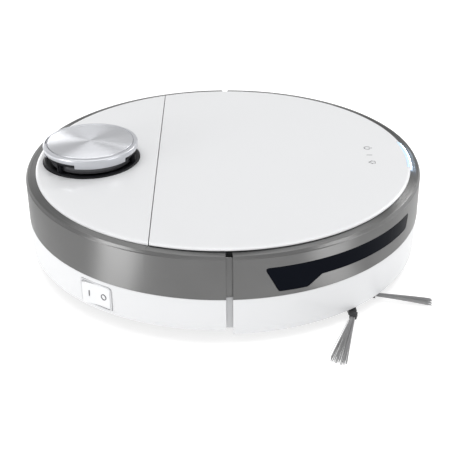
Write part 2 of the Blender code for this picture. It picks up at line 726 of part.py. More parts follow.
def build_drive_wheel(side, word):
    def across(low, high):
        return sorted((side * low, side * high))

    plate = capsule(ARM_PIVOT.xz[:], 9.0, AXLE.xz[:], 17.0)
    arm = prism(f"wheel_arm_{word}", "grey_plastic", [plate], *across(90.6, 100.6), "Y")
    join(arm, prism(f"axle_{word}", None, [circle(3.0, AXLE.xz, 16)], *across(99.0, 121.0), "Y"))
    join(arm, prism(f"trunnion_{word}", None, [circle(3.0, ARM_PIVOT.xz, 16)], *across(88.2, 108.0), "Y"))
    lug = [(8.0, 40.0), (22.0, 40.0), (22.0, 50.0), (8.0, 50.0)]
    join(arm, prism(f"spring_lug_{word}", None, [lug], *across(91.0, 100.2), "Y"))
    coil(f"wheel_spring_{word}", (15.0, side * 95.6, 51.0), 20.0, 3.6, 0.5, 4, "Z")

    hub_profile = [(26.4, 9.0), (26.4, -9.0), (3.3, -9.0), (3.3, -4.0), (3.3, 9.0)]
    hub = turned(
        f"wheel_hub_{word}", "grey_plastic", hub_profile, (AXLE.x, side * 112.5, AXLE.z), "Y", 24
    )
    tread, shoulder, seat = WHEEL_RADIUS, WHEEL_RADIUS - 1.4, 26.8
    tyre_profile = [
        (tread, 8.0), (tread, -8.0), (shoulder, -10.0), (seat, -10.0), (seat, 10.0), (shoulder, 10.0),
    ]
    tyre = turned(
        f"wheel_tyre_{word}", "rubber", tyre_profile, (AXLE.x, side * 112.5, AXLE.z), "Y", 40
    )
    suspension = pivot(f"suspension_{word}", (ARM_PIVOT.x, side * 95.6, ARM_PIVOT.z), [arm])
    pivot(f"wheel_axis_{word}", (AXLE.x, side * 112.5, AXLE.z), [hub, tyre], suspension)


def build_caster():
    socket_profile = [
        (20.4, 28.0), (20.4, 10.2), (18.4, 10.2), (18.4, 27.0), (4.6, 27.0), (4.6, 31.0), (17.4, 31.0),
    ]
    turned("caster_socket", "grey_plastic", socket_profile, CASTER[:], steps=32)
    fork_profile = [(0.0, 34.0), (4.2, 34.0), (4.2, 26.6), (13.5, 26.6), (13.5, 6.4), (0.0, 6.4)]
    fork = turned("caster_fork", "black_plastic", fork_profile, CASTER[:], steps=32)
    cut(fork, box("wheel_slot", None, (100.0, -6.3, 0.0), (150.0, 6.3, 22.0)))
    cut(fork, prism("axle_hole", None, [circle(1.8, CASTER_WHEEL.xz, 12)], -20, 20, "Y"))
    axle = prism("caster_axle", "steel", [circle(1.5, CASTER_WHEEL.xz, 12)], -11.0, 11.0, "Y")
    rim, shoulder, bore = CASTER_RADIUS, CASTER_RADIUS - 1.0, 1.8
    wheel_profile = [
        (rim, 4.6), (rim, -4.6), (shoulder, -5.6), (bore, -5.6), (bore, 5.6), (shoulder, 5.6),
    ]
    wheel = turned("caster_wheel", "rubber", wheel_profile, CASTER_WHEEL[:], "Y", 24)
    swivel = pivot("caster_swivel", CASTER, [fork, axle])
    pivot("caster_wheel_axis", CASTER_WHEEL, [wheel], swivel)


# --- What the shells hide ---


def build_fan():
    centre = (FAN.x, 33.0, FAN.z)
    profile = [
        (12.0, 0.0), (FAN_RADIUS, 0.0), (FAN_RADIUS, 24.0), (15.0, 24.0), (15.0, 46.0), (4.0, 46.0),
        (4.0, 22.4), (FAN_RADIUS - 1.6, 22.4), (FAN_RADIUS - 1.6, 1.6), (12.0, 1.6),
    ]
    housing = turned("fan_housing", "black_plastic", profile[::-1], centre, "Y", 24)
    outlet = box("fan_outlet", None, (FAN.x - 27.0, 38.0, 34.0), (FAN.x - 16.0, 52.0, 50.0))
    cut(housing, outlet)
    vanes = [(FAN.x + x, FAN.z + z) for x, z in toothed(8.0, 21.0, 7, 12.0)]
    impeller = prism("fan_impeller", "grey_plastic", [vanes], 37.0, 49.0, "Y")
    join(impeller, prism("impeller_disc", None, [circle(21.6, FAN.xz)], 48.0, 50.0, "Y"))
    join(impeller, prism("impeller_shaft", None, [circle(3.0, FAN.xz, 12)], 49.0, 78.0, "Y"))
    pivot("fan_axis", (FAN.x, 43.0, FAN.z), [impeller])


def build_battery():
    half = BATTERY_HALF
    box("battery_pack", "battery_sleeve", (BATTERY_X[0], -half, 14.0), (BATTERY_X[1], half, 51.0), 6)
    box("battery_door", "black_plastic", (61.4, -40.1, 10.2), (102.6, 40.1, 12.2), 1.5)


def build_power_switch():
    """The rocker stands in the ON position: the half towards the rear is in, the other is out."""
    surround = radial_box("switch_frame", "white_shell", SWITCH_ANGLE, (169.0, 175.5), 16.2, (16.0, 38.0))
    room = radial_box("switch_room", None, SWITCH_ANGLE, (160.0, 185.0), 14.5, (18.0, 36.0))
    cut(surround, room)
    tilt = 7.0
    reach = ROCKER_REACH
    face = 175.0 - ROCKER_PIVOT_RADIUS + 0.6
    end = arc(reach, 4, math.degrees(math.asin(face / reach)), 5)
    valley = (0.0, face - reach * math.tan(math.radians(tilt)) / 2)
    outline = [*end, valley, *((-x, y) for x, y in reversed(end))]
    rocker = prism("power_rocker", "white_shell", [outline], 18.5, 35.5)
    at = Vector(arc(ROCKER_PIVOT_RADIUS, SWITCH_ANGLE, SWITCH_ANGLE)[0]).to_3d()
    rocker.matrix_local = (
        Matrix.Translation(at * MM)
        @ Matrix.Rotation(math.radians(SWITCH_ANGLE - 90.0 + tilt), 4, "Z")
        @ rocker.matrix_local
    )
    pivot("rocker_axis", at + Vector((0, 0, SWITCH_Z)), [rocker])


def build_electronics():
    board = box("main_board", "circuit", (-152.0, -66.0, 54.0), (-104.0, 66.0, 55.6), 3)
    chips = ((-140, -40, 14), (-126, 8, 18), (-138, 38, 10))
    for number, (x, y, size) in enumerate(chips):
        join(board, box(f"chip_{number}", None, (x, y, 55.0), (x + size, y + size, 58.0)))
    for side, word in ((-1, "right"), (1, "left")):
        low, high = sorted((side * 15.4, side * 36.6))
        box(f"charge_contact_{word}", "steel", (-155.6, low, 10.0), (-142.4, high, 10.9), 1.0)


def build_vacuum():
    build_base_pan()
    build_upper_deck()
    build_bin_well()
    build_rear_shell()
    build_rear_cover()
    build_bumper()
    build_lid()
    build_turret()
    build_dust_bin()
    build_main_brush()
    build_side_brush()
    for side, word in ((-1, "right"), (1, "left")):
        build_drive_wheel(side, word)
    build_caster()
    build_fan()
    build_battery()
    build_power_switch()
    build_electronics()
    ROOT.location.y = ROOT_Y * MM


build_vacuum()
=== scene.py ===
"""Looks of a round robot vacuum cleaner: smooth shells, turret, side brush, wheels and finishes."""

import logging
import math
from collections.abc import Sequence
from dataclasses import dataclass, field
from enum import Enum

import bmesh
import bpy
from mathutils import Matrix, Vector


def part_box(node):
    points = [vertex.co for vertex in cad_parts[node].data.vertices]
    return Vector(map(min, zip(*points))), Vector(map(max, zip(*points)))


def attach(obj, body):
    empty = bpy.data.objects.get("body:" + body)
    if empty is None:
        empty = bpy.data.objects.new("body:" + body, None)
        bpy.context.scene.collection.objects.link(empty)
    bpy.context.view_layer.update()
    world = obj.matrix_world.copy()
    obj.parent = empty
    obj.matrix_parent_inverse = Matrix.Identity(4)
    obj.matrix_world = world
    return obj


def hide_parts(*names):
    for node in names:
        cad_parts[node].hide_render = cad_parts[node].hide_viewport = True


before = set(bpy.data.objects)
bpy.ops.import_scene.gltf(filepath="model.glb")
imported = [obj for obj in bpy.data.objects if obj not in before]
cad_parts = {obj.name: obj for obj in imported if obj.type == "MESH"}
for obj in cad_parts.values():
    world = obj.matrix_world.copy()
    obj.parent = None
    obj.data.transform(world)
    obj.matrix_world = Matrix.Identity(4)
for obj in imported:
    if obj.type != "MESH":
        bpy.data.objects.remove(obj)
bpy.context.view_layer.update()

LOG = logging.getLogger("robot_vacuum")
MM = 0.001
FULL_TURN = 360.0
CREASE = 30.0
GROWN_CREASE = 35.0
Point = tuple[float, float]


class Side(Enum):
    """The two sides of the robot, seen from behind."""

    RIGHT = -1
    LEFT = 1

    @property
    def word(self) -> str:
        """The side as it stands in a node's name."""
        return self.name.lower()


# --- Finishes ---


@dataclass
class Graph:
    """A material's node tree, with short ways to add and join nodes."""

    material: bpy.types.Material

    def add(self, kind: str, **settings: object) -> bpy.types.Node:
        """Adds a node.

        Args:
            kind: The node's type, without its "ShaderNode" prefix.
            settings: Values of the node's properties.

        Returns:
            The new node.
        """
        node = self.material.node_tree.nodes.new("ShaderNode" + kind)
        for name, value in settings.items():
            setattr(node, name, value)
        return node

    def join(self, source: bpy.types.NodeSocket, target: bpy.types.NodeSocket) -> None:
        """Joins an output to an input."""
        self.material.node_tree.links.new(source, target)

    def noise(self, scale: float, detail: float = 3.0, stretch: Vector | None = None) -> bpy.types.Node:
        """A noise texture on the object's own coordinates.

        Args:
            scale: Cells per metre.
            detail: Octaves of finer noise.
            stretch: How much to squeeze the pattern along each axis.

        Returns:
            The noise node.
        """
        place = self.add("TexCoord")
        mapping = self.add("Mapping")
        mapping.inputs["Scale"].default_value = stretch or (1.0, 1.0, 1.0)
        texture = self.add("TexNoise")
        texture.inputs["Scale"].default_value = scale
        texture.inputs["Detail"].default_value = detail
        self.join(place.outputs["Object"], mapping.inputs["Vector"])
        self.join(mapping.outputs["Vector"], texture.inputs["Vector"])
        return texture

    def spread(self, source: bpy.types.NodeSocket, low: float, high: float) -> bpy.types.NodeSocket:
        """Maps a 0 to 1 value onto low to high.

        Args:
            source: The value's socket.
            low: The result at 0.
            high: The result at 1.

        Returns:
            The result's socket.
        """
        node = self.add("MapRange")
        node.inputs["To Min"].default_value = low
        node.inputs["To Max"].default_value = high
        self.join(source, node.inputs["Value"])
        return node.outputs["Result"]

    def bump(
        self, height: bpy.types.NodeSocket, strength: float, depth: float, base: bpy.types.Node | None = None
    ) -> bpy.types.Node:
        """A bump node over a height.

        Args:
            height: The height's socket.
            strength: 0 to 1.
            depth: The bump's depth in metres.
            base: A bump node that this one adds to.

        Returns:
            The bump node.
        """
        node = self.add("Bump")
        node.inputs["Strength"].default_value = strength
        node.inputs["Distance"].default_value = depth
        self.join(height, node.inputs["Height"])
        if base:
            self.join(base.outputs["Normal"], node.inputs["Normal"])
        return node


@dataclass(frozen=True)
class Finish:
    """A moulded surface: colour with a faint drift, uneven roughness and a fine grain."""

    name: str
    colour: tuple[float, float, float]
    roughness: float
    metallic: float = 0.0
    grain: float = 2500.0
    grain_depth: float = 0.00001
    drift: float = 0.03
    coat: float = 0.0
    coat_roughness: float = 0.05
    specular: float = 0.5
    transmission: float = 0.0
    emission: float = 0.0

    def material(self) -> bpy.types.Material:
        """The finish's material, made on first use.

        Returns:
            The material.
        """
        found = bpy.data.materials.get(self.name)
        if found:
            return found
        made = bpy.data.materials.new(self.name)
        made.use_nodes = True
        graph = Graph(made)
        shader = made.node_tree.nodes["Principled BSDF"]
        shader.inputs["Metallic"].default_value = self.metallic
        shader.inputs["Coat Weight"].default_value = self.coat
        shader.inputs["Coat Roughness"].default_value = self.coat_roughness
        shader.inputs["Specular IOR Level"].default_value = self.specular
        shader.inputs["Transmission Weight"].default_value = self.transmission
        if self.emission:
            shader.inputs["Emission Color"].default_value = (*self.colour, 1.0)
            shader.inputs["Emission Strength"].default_value = self.emission
        self.paint(graph, shader)
        return made

    def paint(self, graph: Graph, shader: bpy.types.Node) -> None:
        """Adds colour drift, uneven roughness and grain to the shader.

        Args:
            graph: The material's nodes.
            shader: The shader to set.
        """
        patches = graph.noise(28.0, 4.0)
        mix = graph.add("Mix", data_type="RGBA")
        mix.inputs["A"].default_value = (*(c * (1.0 - self.drift) for c in self.colour), 1.0)
        mix.inputs["B"].default_value = (*(min(1.0, c * (1.0 + self.drift)) for c in self.colour), 1.0)
        graph.join(patches.outputs["Fac"], mix.inputs["Factor"])
        graph.join(mix.outputs["Result"], shader.inputs["Base Color"])
        rough = graph.spread(patches.outputs["Fac"], self.roughness * 0.85, min(1.0, self.roughness * 1.15))
        graph.join(rough, shader.inputs["Roughness"])
        grain = graph.noise(self.grain, 2.0)
        bump = graph.bump(grain.outputs["Fac"], 0.35, self.grain_depth)
        graph.join(bump.outputs["Normal"], shader.inputs["Normal"])


def turned_tangent(graph: Graph, shader: bpy.types.Node, anisotropy: float) -> None:
    """Stretches a round piece's highlights across its turning marks.

    Args:
        graph: The material's nodes.
        shader: The shader to set.
        anisotropy: 0 to 1.
    """
    tangent = graph.add("Tangent", direction_type="RADIAL", axis="Z")
    graph.join(tangent.outputs["Tangent"], shader.inputs["Tangent"])
    shader.inputs["Anisotropic"].default_value = anisotropy
    shader.inputs["Anisotropic Rotation"].default_value = 0.25


@dataclass(frozen=True)
class SilverPaint(Finish):
    """Satin metallic paint with fine flakes and the faint vertical grain of the band."""

    def paint(self, graph: Graph, shader: bpy.types.Node) -> None:
        """Adds flakes and vertical streaks to the moulded look.

        Args:
            graph: The material's nodes.
            shader: The shader to set.
        """
        super().paint(graph, shader)
        turned_tangent(graph, shader, 0.97)
        flakes = graph.noise(5200.0, 1.0)
        streaks = graph.noise(420.0, 2.0, Vector((1.0, 1.0, 0.03)))
        first = graph.bump(flakes.outputs["Fac"], 0.25, 0.000008)
        second = graph.bump(streaks.outputs["Fac"], 0.22, 0.000012, first)
        graph.join(second.outputs["Normal"], shader.inputs["Normal"])


@dataclass(frozen=True)
class SpunMetal(Finish):
    """A lathe-brushed disc: fine rings and highlights that fan out from its middle."""

    centre: tuple[float, float, float] = (0.0, 0.0, 0.0)
    anisotropy: float = 0.85

    def paint(self, graph: Graph, shader: bpy.types.Node) -> None:
        """Adds rings round the centre and a tangent that follows them.

        Args:
            graph: The material's nodes.
            shader: The shader to set.
        """
        shader.inputs["Base Color"].default_value = (*self.colour, 1.0)
        turned_tangent(graph, shader, self.anisotropy)
        place = graph.add("TexCoord")
        mapping = graph.add("Mapping", vector_type="POINT")
        mapping.inputs["Location"].default_value = tuple(-c for c in self.centre)
        rings = graph.add("TexWave", wave_type="RINGS", rings_direction="Z")
        rings.inputs["Scale"].default_value = 420.0
        rings.inputs["Distortion"].default_value = 2.0
        rings.inputs["Detail"].default_value = 3.0
        graph.join(place.outputs["Object"], mapping.inputs["Vector"])
        graph.join(mapping.outputs["Vector"], rings.inputs["Vector"])
        rough = graph.spread(rings.outputs["Fac"], self.roughness * 0.8, self.roughness * 1.2)
        graph.join(rough, shader.inputs["Roughness"])
        bump = graph.bump(rings.outputs["Fac"], 0.12, 0.00001)
        graph.join(bump.outputs["Normal"], shader.inputs["Normal"])


TURRET_LOW, TURRET_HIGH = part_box("turret_cap")
TURRET_CENTRE = (TURRET_LOW + TURRET_HIGH) / 2
DISC_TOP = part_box("turret_disc")[1].z / MM

WHITE = Finish("white gloss shell", (0.70, 0.705, 0.715), 0.32, coat=0.3, grain_depth=0.000002, drift=0.006)
# The skirts are the same white plastic as the shell; this darker copy of its white is painted shade on the
# lower skirts.
SHADED_SKIRT_WHITE = Finish("white skirt with painted shade", (0.63, 0.635, 0.645), 0.36, coat=0.2, grain_depth=0.000002, drift=0.006)
SILVER = SilverPaint("silver band paint", (0.20, 0.20, 0.199), 0.42, metallic=0.95, drift=0.03)
SATIN = Finish("satin silver rim", (0.56, 0.57, 0.60), 0.30, metallic=0.6, coat=0.15, drift=0.02)
SPUN = SpunMetal("spun disc", (0.74, 0.75, 0.78), 0.36, metallic=1.0, centre=tuple(TURRET_CENTRE))
WINDOW = Finish("infrared window", (0.004, 0.005, 0.008), 0.2, specular=0.015, grain_depth=0.0, drift=0.1)
SMOKED = Finish("smoked plastic", (0.055, 0.055, 0.06), 0.14, coat=0.3, drift=0.1)
BLACK = Finish("black moulding", (0.022, 0.022, 0.024), 0.46, grain=1800, grain_depth=0.00004, drift=0.15)
WELL = Finish("black turret well", (0.006, 0.006, 0.008), 0.4, specular=0.15, grain_depth=0.0, drift=0.1)
GREY = Finish("grey moulding", (0.16, 0.165, 0.17), 0.5, grain=1800, grain_depth=0.00004, drift=0.08)
LIGHT = Finish("status light", (0.50, 0.66, 0.88), 0.3, emission=0.3, drift=0.02)
GLOW = Finish("status light glow", (0.62, 0.78, 1.0), 0.3, emission=22.0, drift=0.02)
RUBBER = Finish("tread rubber", (0.018, 0.018, 0.018), 0.75, grain=900, grain_depth=0.00012, drift=0.3)
FIN = Finish("fin rubber", (0.50, 0.09, 0.03), 0.6, grain=900, grain_depth=0.00008, drift=0.1)
BRISTLE = Finish("nylon bristle", (0.33, 0.33, 0.335), 0.45, drift=0.5)
STEEL = Finish("bright steel", (0.6, 0.6, 0.61), 0.28, metallic=1.0, grain=3000, drift=0.06)
PAPER = Finish("filter paper", (0.78, 0.79, 0.76), 0.95, grain=1500, grain_depth=0.00015, drift=0.05)
BOARD = Finish("circuit board", (0.015, 0.13, 0.055), 0.35, grain=700, grain_depth=0.00006, drift=0.25)
SLEEVE = Finish("battery sleeve", (0.02, 0.07, 0.26), 0.3, coat=0.3, drift=0.08)
# The switch frame is white plastic; its grey here is painted shade round the rocker.
SWITCH_FRAME_PAINTED_SHADE = Finish("switch frame painted shade grey", (0.52, 0.525, 0.535), 0.35, coat=0.2, grain_depth=0.000002, drift=0.01)
PRINT = Finish("grey print", (0.10, 0.10, 0.11), 0.4, grain_depth=0.0, drift=0.02)


# --- Making meshes ---


def link_mesh(name: str, mesh: bpy.types.Mesh) -> bpy.types.Object:
    """An object that stands at the origin and holds a mesh.

    Args:
        name: The object's name.
        mesh: The mesh it holds.

    Returns:
        The new object.
    """
    made = bpy.data.objects.new(name, mesh)
    bpy.context.scene.collection.objects.link(made)
    return made


def from_bmesh(name: str, work: bmesh.types.BMesh, sharp: float = CREASE) -> bpy.types.Object:
    """Closes a bmesh's work into a smooth object with sharp creases.

    Args:
        name: The piece's name.
        work: The bmesh, which is freed.
        sharp: The angle in degrees past which an edge stays a crease.

    Returns:
        The new object.
    """
    bmesh.ops.recalc_face_normals(work, faces=work.faces)
    mesh = bpy.data.meshes.new(name)
    work.to_mesh(mesh)
    work.free()
    mesh.shade_smooth()
    mesh.set_sharp_from_angle(angle=math.radians(sharp))
    return link_mesh(name, mesh)


def arc(radius: float, start: float, end: float, count: int, centre: Point = (0.0, 0.0)) -> list[Point]:
    """Points along an arc, ends included, with the angles in degrees."""
    angles = [math.radians(start + (end - start) * i / count) for i in range(count + 1)]
    return [(centre[0] + radius * math.cos(a), centre[1] + radius * math.sin(a)) for a in angles]


def rectangle(x: Point, y: Point, corner: float = 0.0, count: int = 6) -> list[Point]:
    """A rectangle's outline with round corners."""
    outline = [(x[0], y[0]), (x[1], y[0]), (x[1], y[1]), (x[0], y[1])]
    return fillet(outline, corner, count) if corner else outline


def fillet(points: Sequence[Point], radius: float, count: int = 5) -> list[Point]:
    """Rounds every corner of a closed outline.

    Args:
        points: The outline's corners in order.
        radius: The fillet's radius, cut back where a side is too short for it.
        count: Segments in each corner.

    Returns:
        The rounded outline.
    """
    rounded = []
    total = len(points)
    for i, corner in enumerate(points):
        here = Vector(corner)
        back = Vector(points[i - 1]) - here
        ahead = Vector(points[(i + 1) % total]) - here
        half = back.angle(ahead) / 2
        reach = min(radius / math.tan(half), back.length * 0.45, ahead.length * 0.45)
        start = here + back.normalized() * reach
        end = here + ahead.normalized() * reach
        for k in range(count + 1):
            t = k / count
            rounded.append(tuple((1 - t) ** 2 * start + 2 * t * (1 - t) * here + t**2 * end))
    return rounded


def sweep(name: str, profile: Sequence[Point], start: float, end: float, steps: int) -> bpy.types.Object:
    """Sweeps a closed profile about the vertical axis and caps its ends.

    Args:
        name: The piece's name.
        profile: (radius, height) corners in millimetres.
        start: First angle in degrees.
        end: Last angle; a full turn away from start joins up.
        steps: Segments along the sweep.

    Returns:
        The new object.
    """
    work = bmesh.new()
    joined = abs(end - start) >= FULL_TURN - 1e-6
    rings = []
    for i in range(steps + (0 if joined else 1)):
        angle = math.radians(start + (end - start) * i / steps)
        turn = (math.cos(angle) * MM, math.sin(angle) * MM)
        rings.append([work.verts.new((r * turn[0], r * turn[1], z * MM)) for r, z in profile])
    count = len(profile)
    for i in range(steps):
        first, second = rings[i], rings[(i + 1) % len(rings)]
        for k in range(count):
            work.faces.new((first[k], first[(k + 1) % count], second[(k + 1) % count], second[k]))
    if not joined:
        work.faces.new(rings[0])
        work.faces.new(reversed(rings[-1]))
    return from_bmesh(name, work)


def lathe(name: str, profile: Sequence[Point], steps: int = 96) -> bpy.types.Object:
    """Turns an open profile, whose two ends lie on the axis, about the vertical axis.

    Args:
        name: The piece's name.
        profile: (radius, height) points in millimetres, from axis to axis.
        steps: Segments in the full turn.

    Returns:
        The new object.
    """
    work = bmesh.new()
    poles = {k: work.verts.new((0, 0, z * MM)) for k, (r, z) in enumerate(profile) if r == 0}
    rings = []
    for i in range(steps):
        angle = 2 * math.pi * i / steps
        ring = [
            poles[k] if k in poles
            else work.verts.new((r * math.cos(angle) * MM, r * math.sin(angle) * MM, z * MM))
            for k, (r, z) in enumerate(profile)
        ]
        rings.append(ring)
    for i in range(steps):
        first, second = rings[i], rings[(i + 1) % steps]
        for k in range(len(profile) - 1):
            corners = dict.fromkeys((first[k], first[k + 1], second[k + 1], second[k]))
            work.faces.new(tuple(corners))
    return from_bmesh(name, work)


def slab(name: str, outlines: Sequence[Sequence[Point]], low: float, high: float) -> bpy.types.Object:
    """A flat piece: the first outline is its rim and the others are holes, all in millimetres.

    Args:
        name: The piece's name.
        outlines: The rim, then any holes, as (x, y) points.
        low: The height of its underside.
        high: The height of its top.

    Returns:
        The new object.
    """
    curve = bpy.data.curves.new(name, "CURVE")
    curve.dimensions = "2D"
    curve.fill_mode = "BOTH"
    curve.extrude = (high - low) / 2 * MM
    for outline in outlines:
        spline = curve.splines.new("POLY")
        spline.points.add(len(outline) - 1)
        for point, (x, y) in zip(spline.points, outline):
            point.co = (x * MM, y * MM, 0.0, 1.0)
        spline.use_cyclic_u = True
    drawn = bpy.data.objects.new(name, curve)
    bpy.context.scene.collection.objects.link(drawn)
    bpy.context.view_layer.update()
    graph = bpy.context.evaluated_depsgraph_get()
    flat = bpy.data.meshes.new_from_object(drawn.evaluated_get(graph))
    bpy.data.objects.remove(drawn)
    work = bmesh.new()
    work.from_mesh(flat)
    bmesh.ops.remove_doubles(work, verts=work.verts, dist=1e-6)
    bmesh.ops.translate(work, verts=work.verts, vec=(0, 0, (low + high) / 2 * MM))
    return from_bmesh(name, work)


def move(piece: bpy.types.Object, matrix: Matrix) -> bpy.types.Object:
    """Moves a piece's mesh, and leaves its object at the origin."""
    piece.data.transform(matrix)
    return piece


def shift(piece: bpy.types.Object, x: float, y: float, z: float = 0.0) -> bpy.types.Object:
    """Moves a piece's mesh by millimetres."""
    return move(piece, Matrix.Translation(Vector((x, y, z)) * MM))


def spin(piece: bpy.types.Object, degrees: float, axis: str = "Z") -> bpy.types.Object:
    """Turns a piece's mesh about an axis through the origin."""
    return move(piece, Matrix.Rotation(math.radians(degrees), 4, axis))


def baked(piece: bpy.types.Object) -> bpy.types.Object:
    """Replaces a piece's mesh with what its modifiers make, and removes them.

    Args:
        piece: The object to bake.

    Returns:
        The same object.
    """
    bpy.context.view_layer.update()
    graph = bpy.context.evaluated_depsgraph_get()
    mesh = bpy.data.meshes.new_from_object(
        piece.evaluated_get(graph), preserve_all_data_layers=True, depsgraph=graph
    )
    piece.modifiers.clear()
    piece.data = mesh
    return piece


def carve(
    piece: bpy.types.Object, cutters: Sequence[bpy.types.Object], operation: str = "DIFFERENCE"
) -> bpy.types.Object:
    """Cuts pieces from a piece, and removes the cutters.

    Args:
        piece: The object to cut.
        cutters: The objects to cut with.
        operation: The Boolean's operation.

    Returns:
        The same object.
    """
    for cutter in cutters:
        modifier = piece.modifiers.new("carve", "BOOLEAN")
        modifier.operation = operation
        modifier.object = cutter
    baked(piece)
    piece.data.shade_smooth()
    piece.data.set_sharp_from_angle(angle=math.radians(CREASE))
    for cutter in cutters:
        bpy.data.objects.remove(cutter)
    return piece


def soften(piece: bpy.types.Object, width: float, count: int = 2, angle: float = 40.0) -> bpy.types.Object:
    """Rounds a piece's creases by a width in millimetres.

    Args:
        piece: The object to round.
        width: The rounding's width.
        count: Segments in it.
        angle: The angle in degrees past which an edge is rounded.

    Returns:
        The same object.
    """
    bevel = piece.modifiers.new("round", "BEVEL")
    bevel.width = width * MM
    bevel.segments = count
    bevel.limit_method = "ANGLE"
    bevel.angle_limit = math.radians(angle)
    bevel.harden_normals = False
    baked(piece)
    piece.data.shade_smooth()
    piece.data.set_sharp_from_angle(angle=math.radians(angle + 5))
    return piece


def merged(name: str, pieces: Sequence[bpy.types.Object]) -> bpy.types.Object:
    """Joins several pieces into one object of separate closed bodies.

    Args:
        name: The new object's name.
        pieces: The objects, which are removed.

    Returns:
        The new object.
    """
    work = bmesh.new()
    for piece in pieces:
        work.from_mesh(piece.data)
        bpy.data.objects.remove(piece)
    return from_bmesh(name, work)


# --- The body's shared sizes, all from the frame ---


@dataclass(frozen=True)
class Body:
    """Sizes in millimetres that the shells share."""

    home: Vector
    radius: float
    band_low: float
    rim: float
    skirt_low: float
    rear_low: float
    top_low: float
    crown: float
    top_radius: float = 166.3
    edge: float = 82.1
    seam_cover: float = -59.0
    seam_lid: float = -58.3
    gap_rear: float = 5.5

    def settle(self, piece: bpy.types.Object) -> bpy.types.Object:
        """Moves a piece that was made round the body's own middle to its place."""
        return move(piece, Matrix.Translation(self.home))

    def crown_height(self, radius: float) -> float:
        """The height of the top plates' crown at a radius, in millimetres."""
        return self.crown - (self.crown - self.edge) * (radius / self.top_radius) ** 2


def measure_body() -> Body:
    """Reads the body's sizes from the frame's boxes.

    Returns:
        The sizes that the shells share.
    """
    band_low, band_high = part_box("rear_band")
    return Body(
        home=Vector((0.0, (band_low.y + band_high.y) / 2, 0.0)),
        radius=-band_low.x / MM,
        band_low=band_low.z / MM,
        rim=band_high.z / MM,
        skirt_low=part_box("bumper_skirt")[0].z / MM,
        rear_low=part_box("rear_skirt")[0].z / MM,
        top_low=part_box("lid")[0].z / MM,
        crown=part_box("lid")[1].z / MM,
    )


BODY = measure_body()


def dress(
    piece: bpy.types.Object, finish: Finish, body: str, slot: str, *nodes: str, settle: bool = True
) -> bpy.types.Object:
    """Gives a new piece its place, finish and body.

    Args:
        piece: The finished mesh.
        finish: Its finish.
        body: The moving body that it rides on.
        slot: The record's material slot; not used.
        nodes: CAD nodes that it stands for.
        settle: Whether it still has to move from the body's middle to its place.

    Returns:
        The piece.
    """
    if settle:
        BODY.settle(piece)
    piece.data.materials.clear()
    piece.data.materials.append(finish.material())
    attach(piece, body)
    if nodes:
        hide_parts(*nodes)
    LOG.info("%s: %d faces", piece.name, len(piece.data.polygons))
    return piece


def keep(node: str, finish: Finish) -> None:
    """Gives a carried-over node a finish.

    Args:
        node: The CAD node's name.
        finish: Its finish.
    """
    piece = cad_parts[node]
    piece.data.materials.clear()
    piece.data.materials.append(finish.material())


# --- Geometry Nodes ---


@dataclass
class NodeTree:
    """A Geometry Nodes tree built in the script, with named inputs."""

    name: str
    tree: bpy.types.GeometryNodeTree = field(init=False)
    source: bpy.types.Node = field(init=False)

    def __post_init__(self) -> None:
        """Starts the tree with its geometry sockets."""
        self.tree = bpy.data.node_groups.new(self.name, "GeometryNodeTree")
        self.tree.interface.new_socket("Geometry", in_out="INPUT", socket_type="NodeSocketGeometry")
        self.tree.interface.new_socket("Geometry", in_out="OUTPUT", socket_type="NodeSocketGeometry")
        self.source = self.tree.nodes.new("NodeGroupInput")

    def number(self, name: str, value: float | int) -> None:
        """Adds a named input, whole or decimal by its value.

        Args:
            name: The input's name.
            value: Its default.
        """
        kind = "NodeSocketInt" if isinstance(value, int) else "NodeSocketFloat"
        socket = self.tree.interface.new_socket(name, in_out="INPUT", socket_type=kind)
        socket.default_value = value

    def add(self, kind: str, inputs: dict[str, object] | None = None, **settings: object) -> bpy.types.Node:
        """Adds a node; an input that is a socket is joined, and any other is a value.

        Args:
            kind: The node's type.
            inputs: Sockets or values by input name.
            settings: Values of the node's properties.

        Returns:
            The new node.
        """
        node = self.tree.nodes.new(kind)
        for name, value in settings.items():
            setattr(node, name, value)
        for name, value in (inputs or {}).items():
            socket = node.inputs[name]
            if isinstance(value, bpy.types.NodeSocket):
                self.tree.links.new(value, socket)
            else:
                socket.default_value = value
        return node

    def given(self, name: str) -> bpy.types.NodeSocket:
        """The output that carries a named input."""
        return self.source.outputs[name]

    def math(self, operation: str, first: object, second: object = 0.0) -> bpy.types.NodeSocket:
        """One sum on two values or sockets.

        Args:
            operation: The sum's name.
            first: A value or a socket.
            second: A value or a socket.

        Returns:
            The result's socket.
        """
        node = self.tree.nodes.new("ShaderNodeMath")
        node.operation = operation
        for socket, value in zip(node.inputs, (first, second)):
            if isinstance(value, bpy.types.NodeSocket):
                self.tree.links.new(value, socket)
            else:
                socket.default_value = value
        return node.outputs[0]

    def close(self, geometry: bpy.types.NodeSocket, finish: Finish) -> None:
        """Ends the tree: instances are made real and take a finish.

        Args:
            geometry: The socket to end with.
            finish: The finish it takes.
        """
        real = self.add("GeometryNodeRealizeInstances", {"Geometry": geometry})
        painted = self.add("GeometryNodeSetMaterial", {"Geometry": real.outputs[0]})
        painted.inputs["Material"].default_value = finish.material()
        out = self.tree.nodes.new("NodeGroupOutput")
        self.tree.links.new(painted.outputs[0], out.inputs[0])

    def grow(self, name: str, seeds: Sequence[Vector], **sizes: float | int) -> bpy.types.Object:
        """Runs the tree on seed points and bakes the result.

        Args:
            name: The piece's name.
            seeds: Points in metres that the tree starts from.
            sizes: Values of the tree's named inputs.

        Returns:
            A plain mesh object.
        """
        mesh = bpy.data.meshes.new(name)
        mesh.from_pydata([tuple(seed) for seed in seeds], [], [])
        piece = link_mesh(name, mesh)
        modifier = piece.modifiers.new("grow", "NODES")
        modifier.node_group = self.tree
        for item in self.tree.interface.items_tree:
            if item.item_type == "SOCKET" and item.in_out == "INPUT" and item.name in sizes:
                modifier[item.identifier] = sizes[item.name]
        baked(piece)
        piece.data.shade_smooth()
        piece.data.set_sharp_from_angle(angle=math.radians(GROWN_CREASE))
        return piece


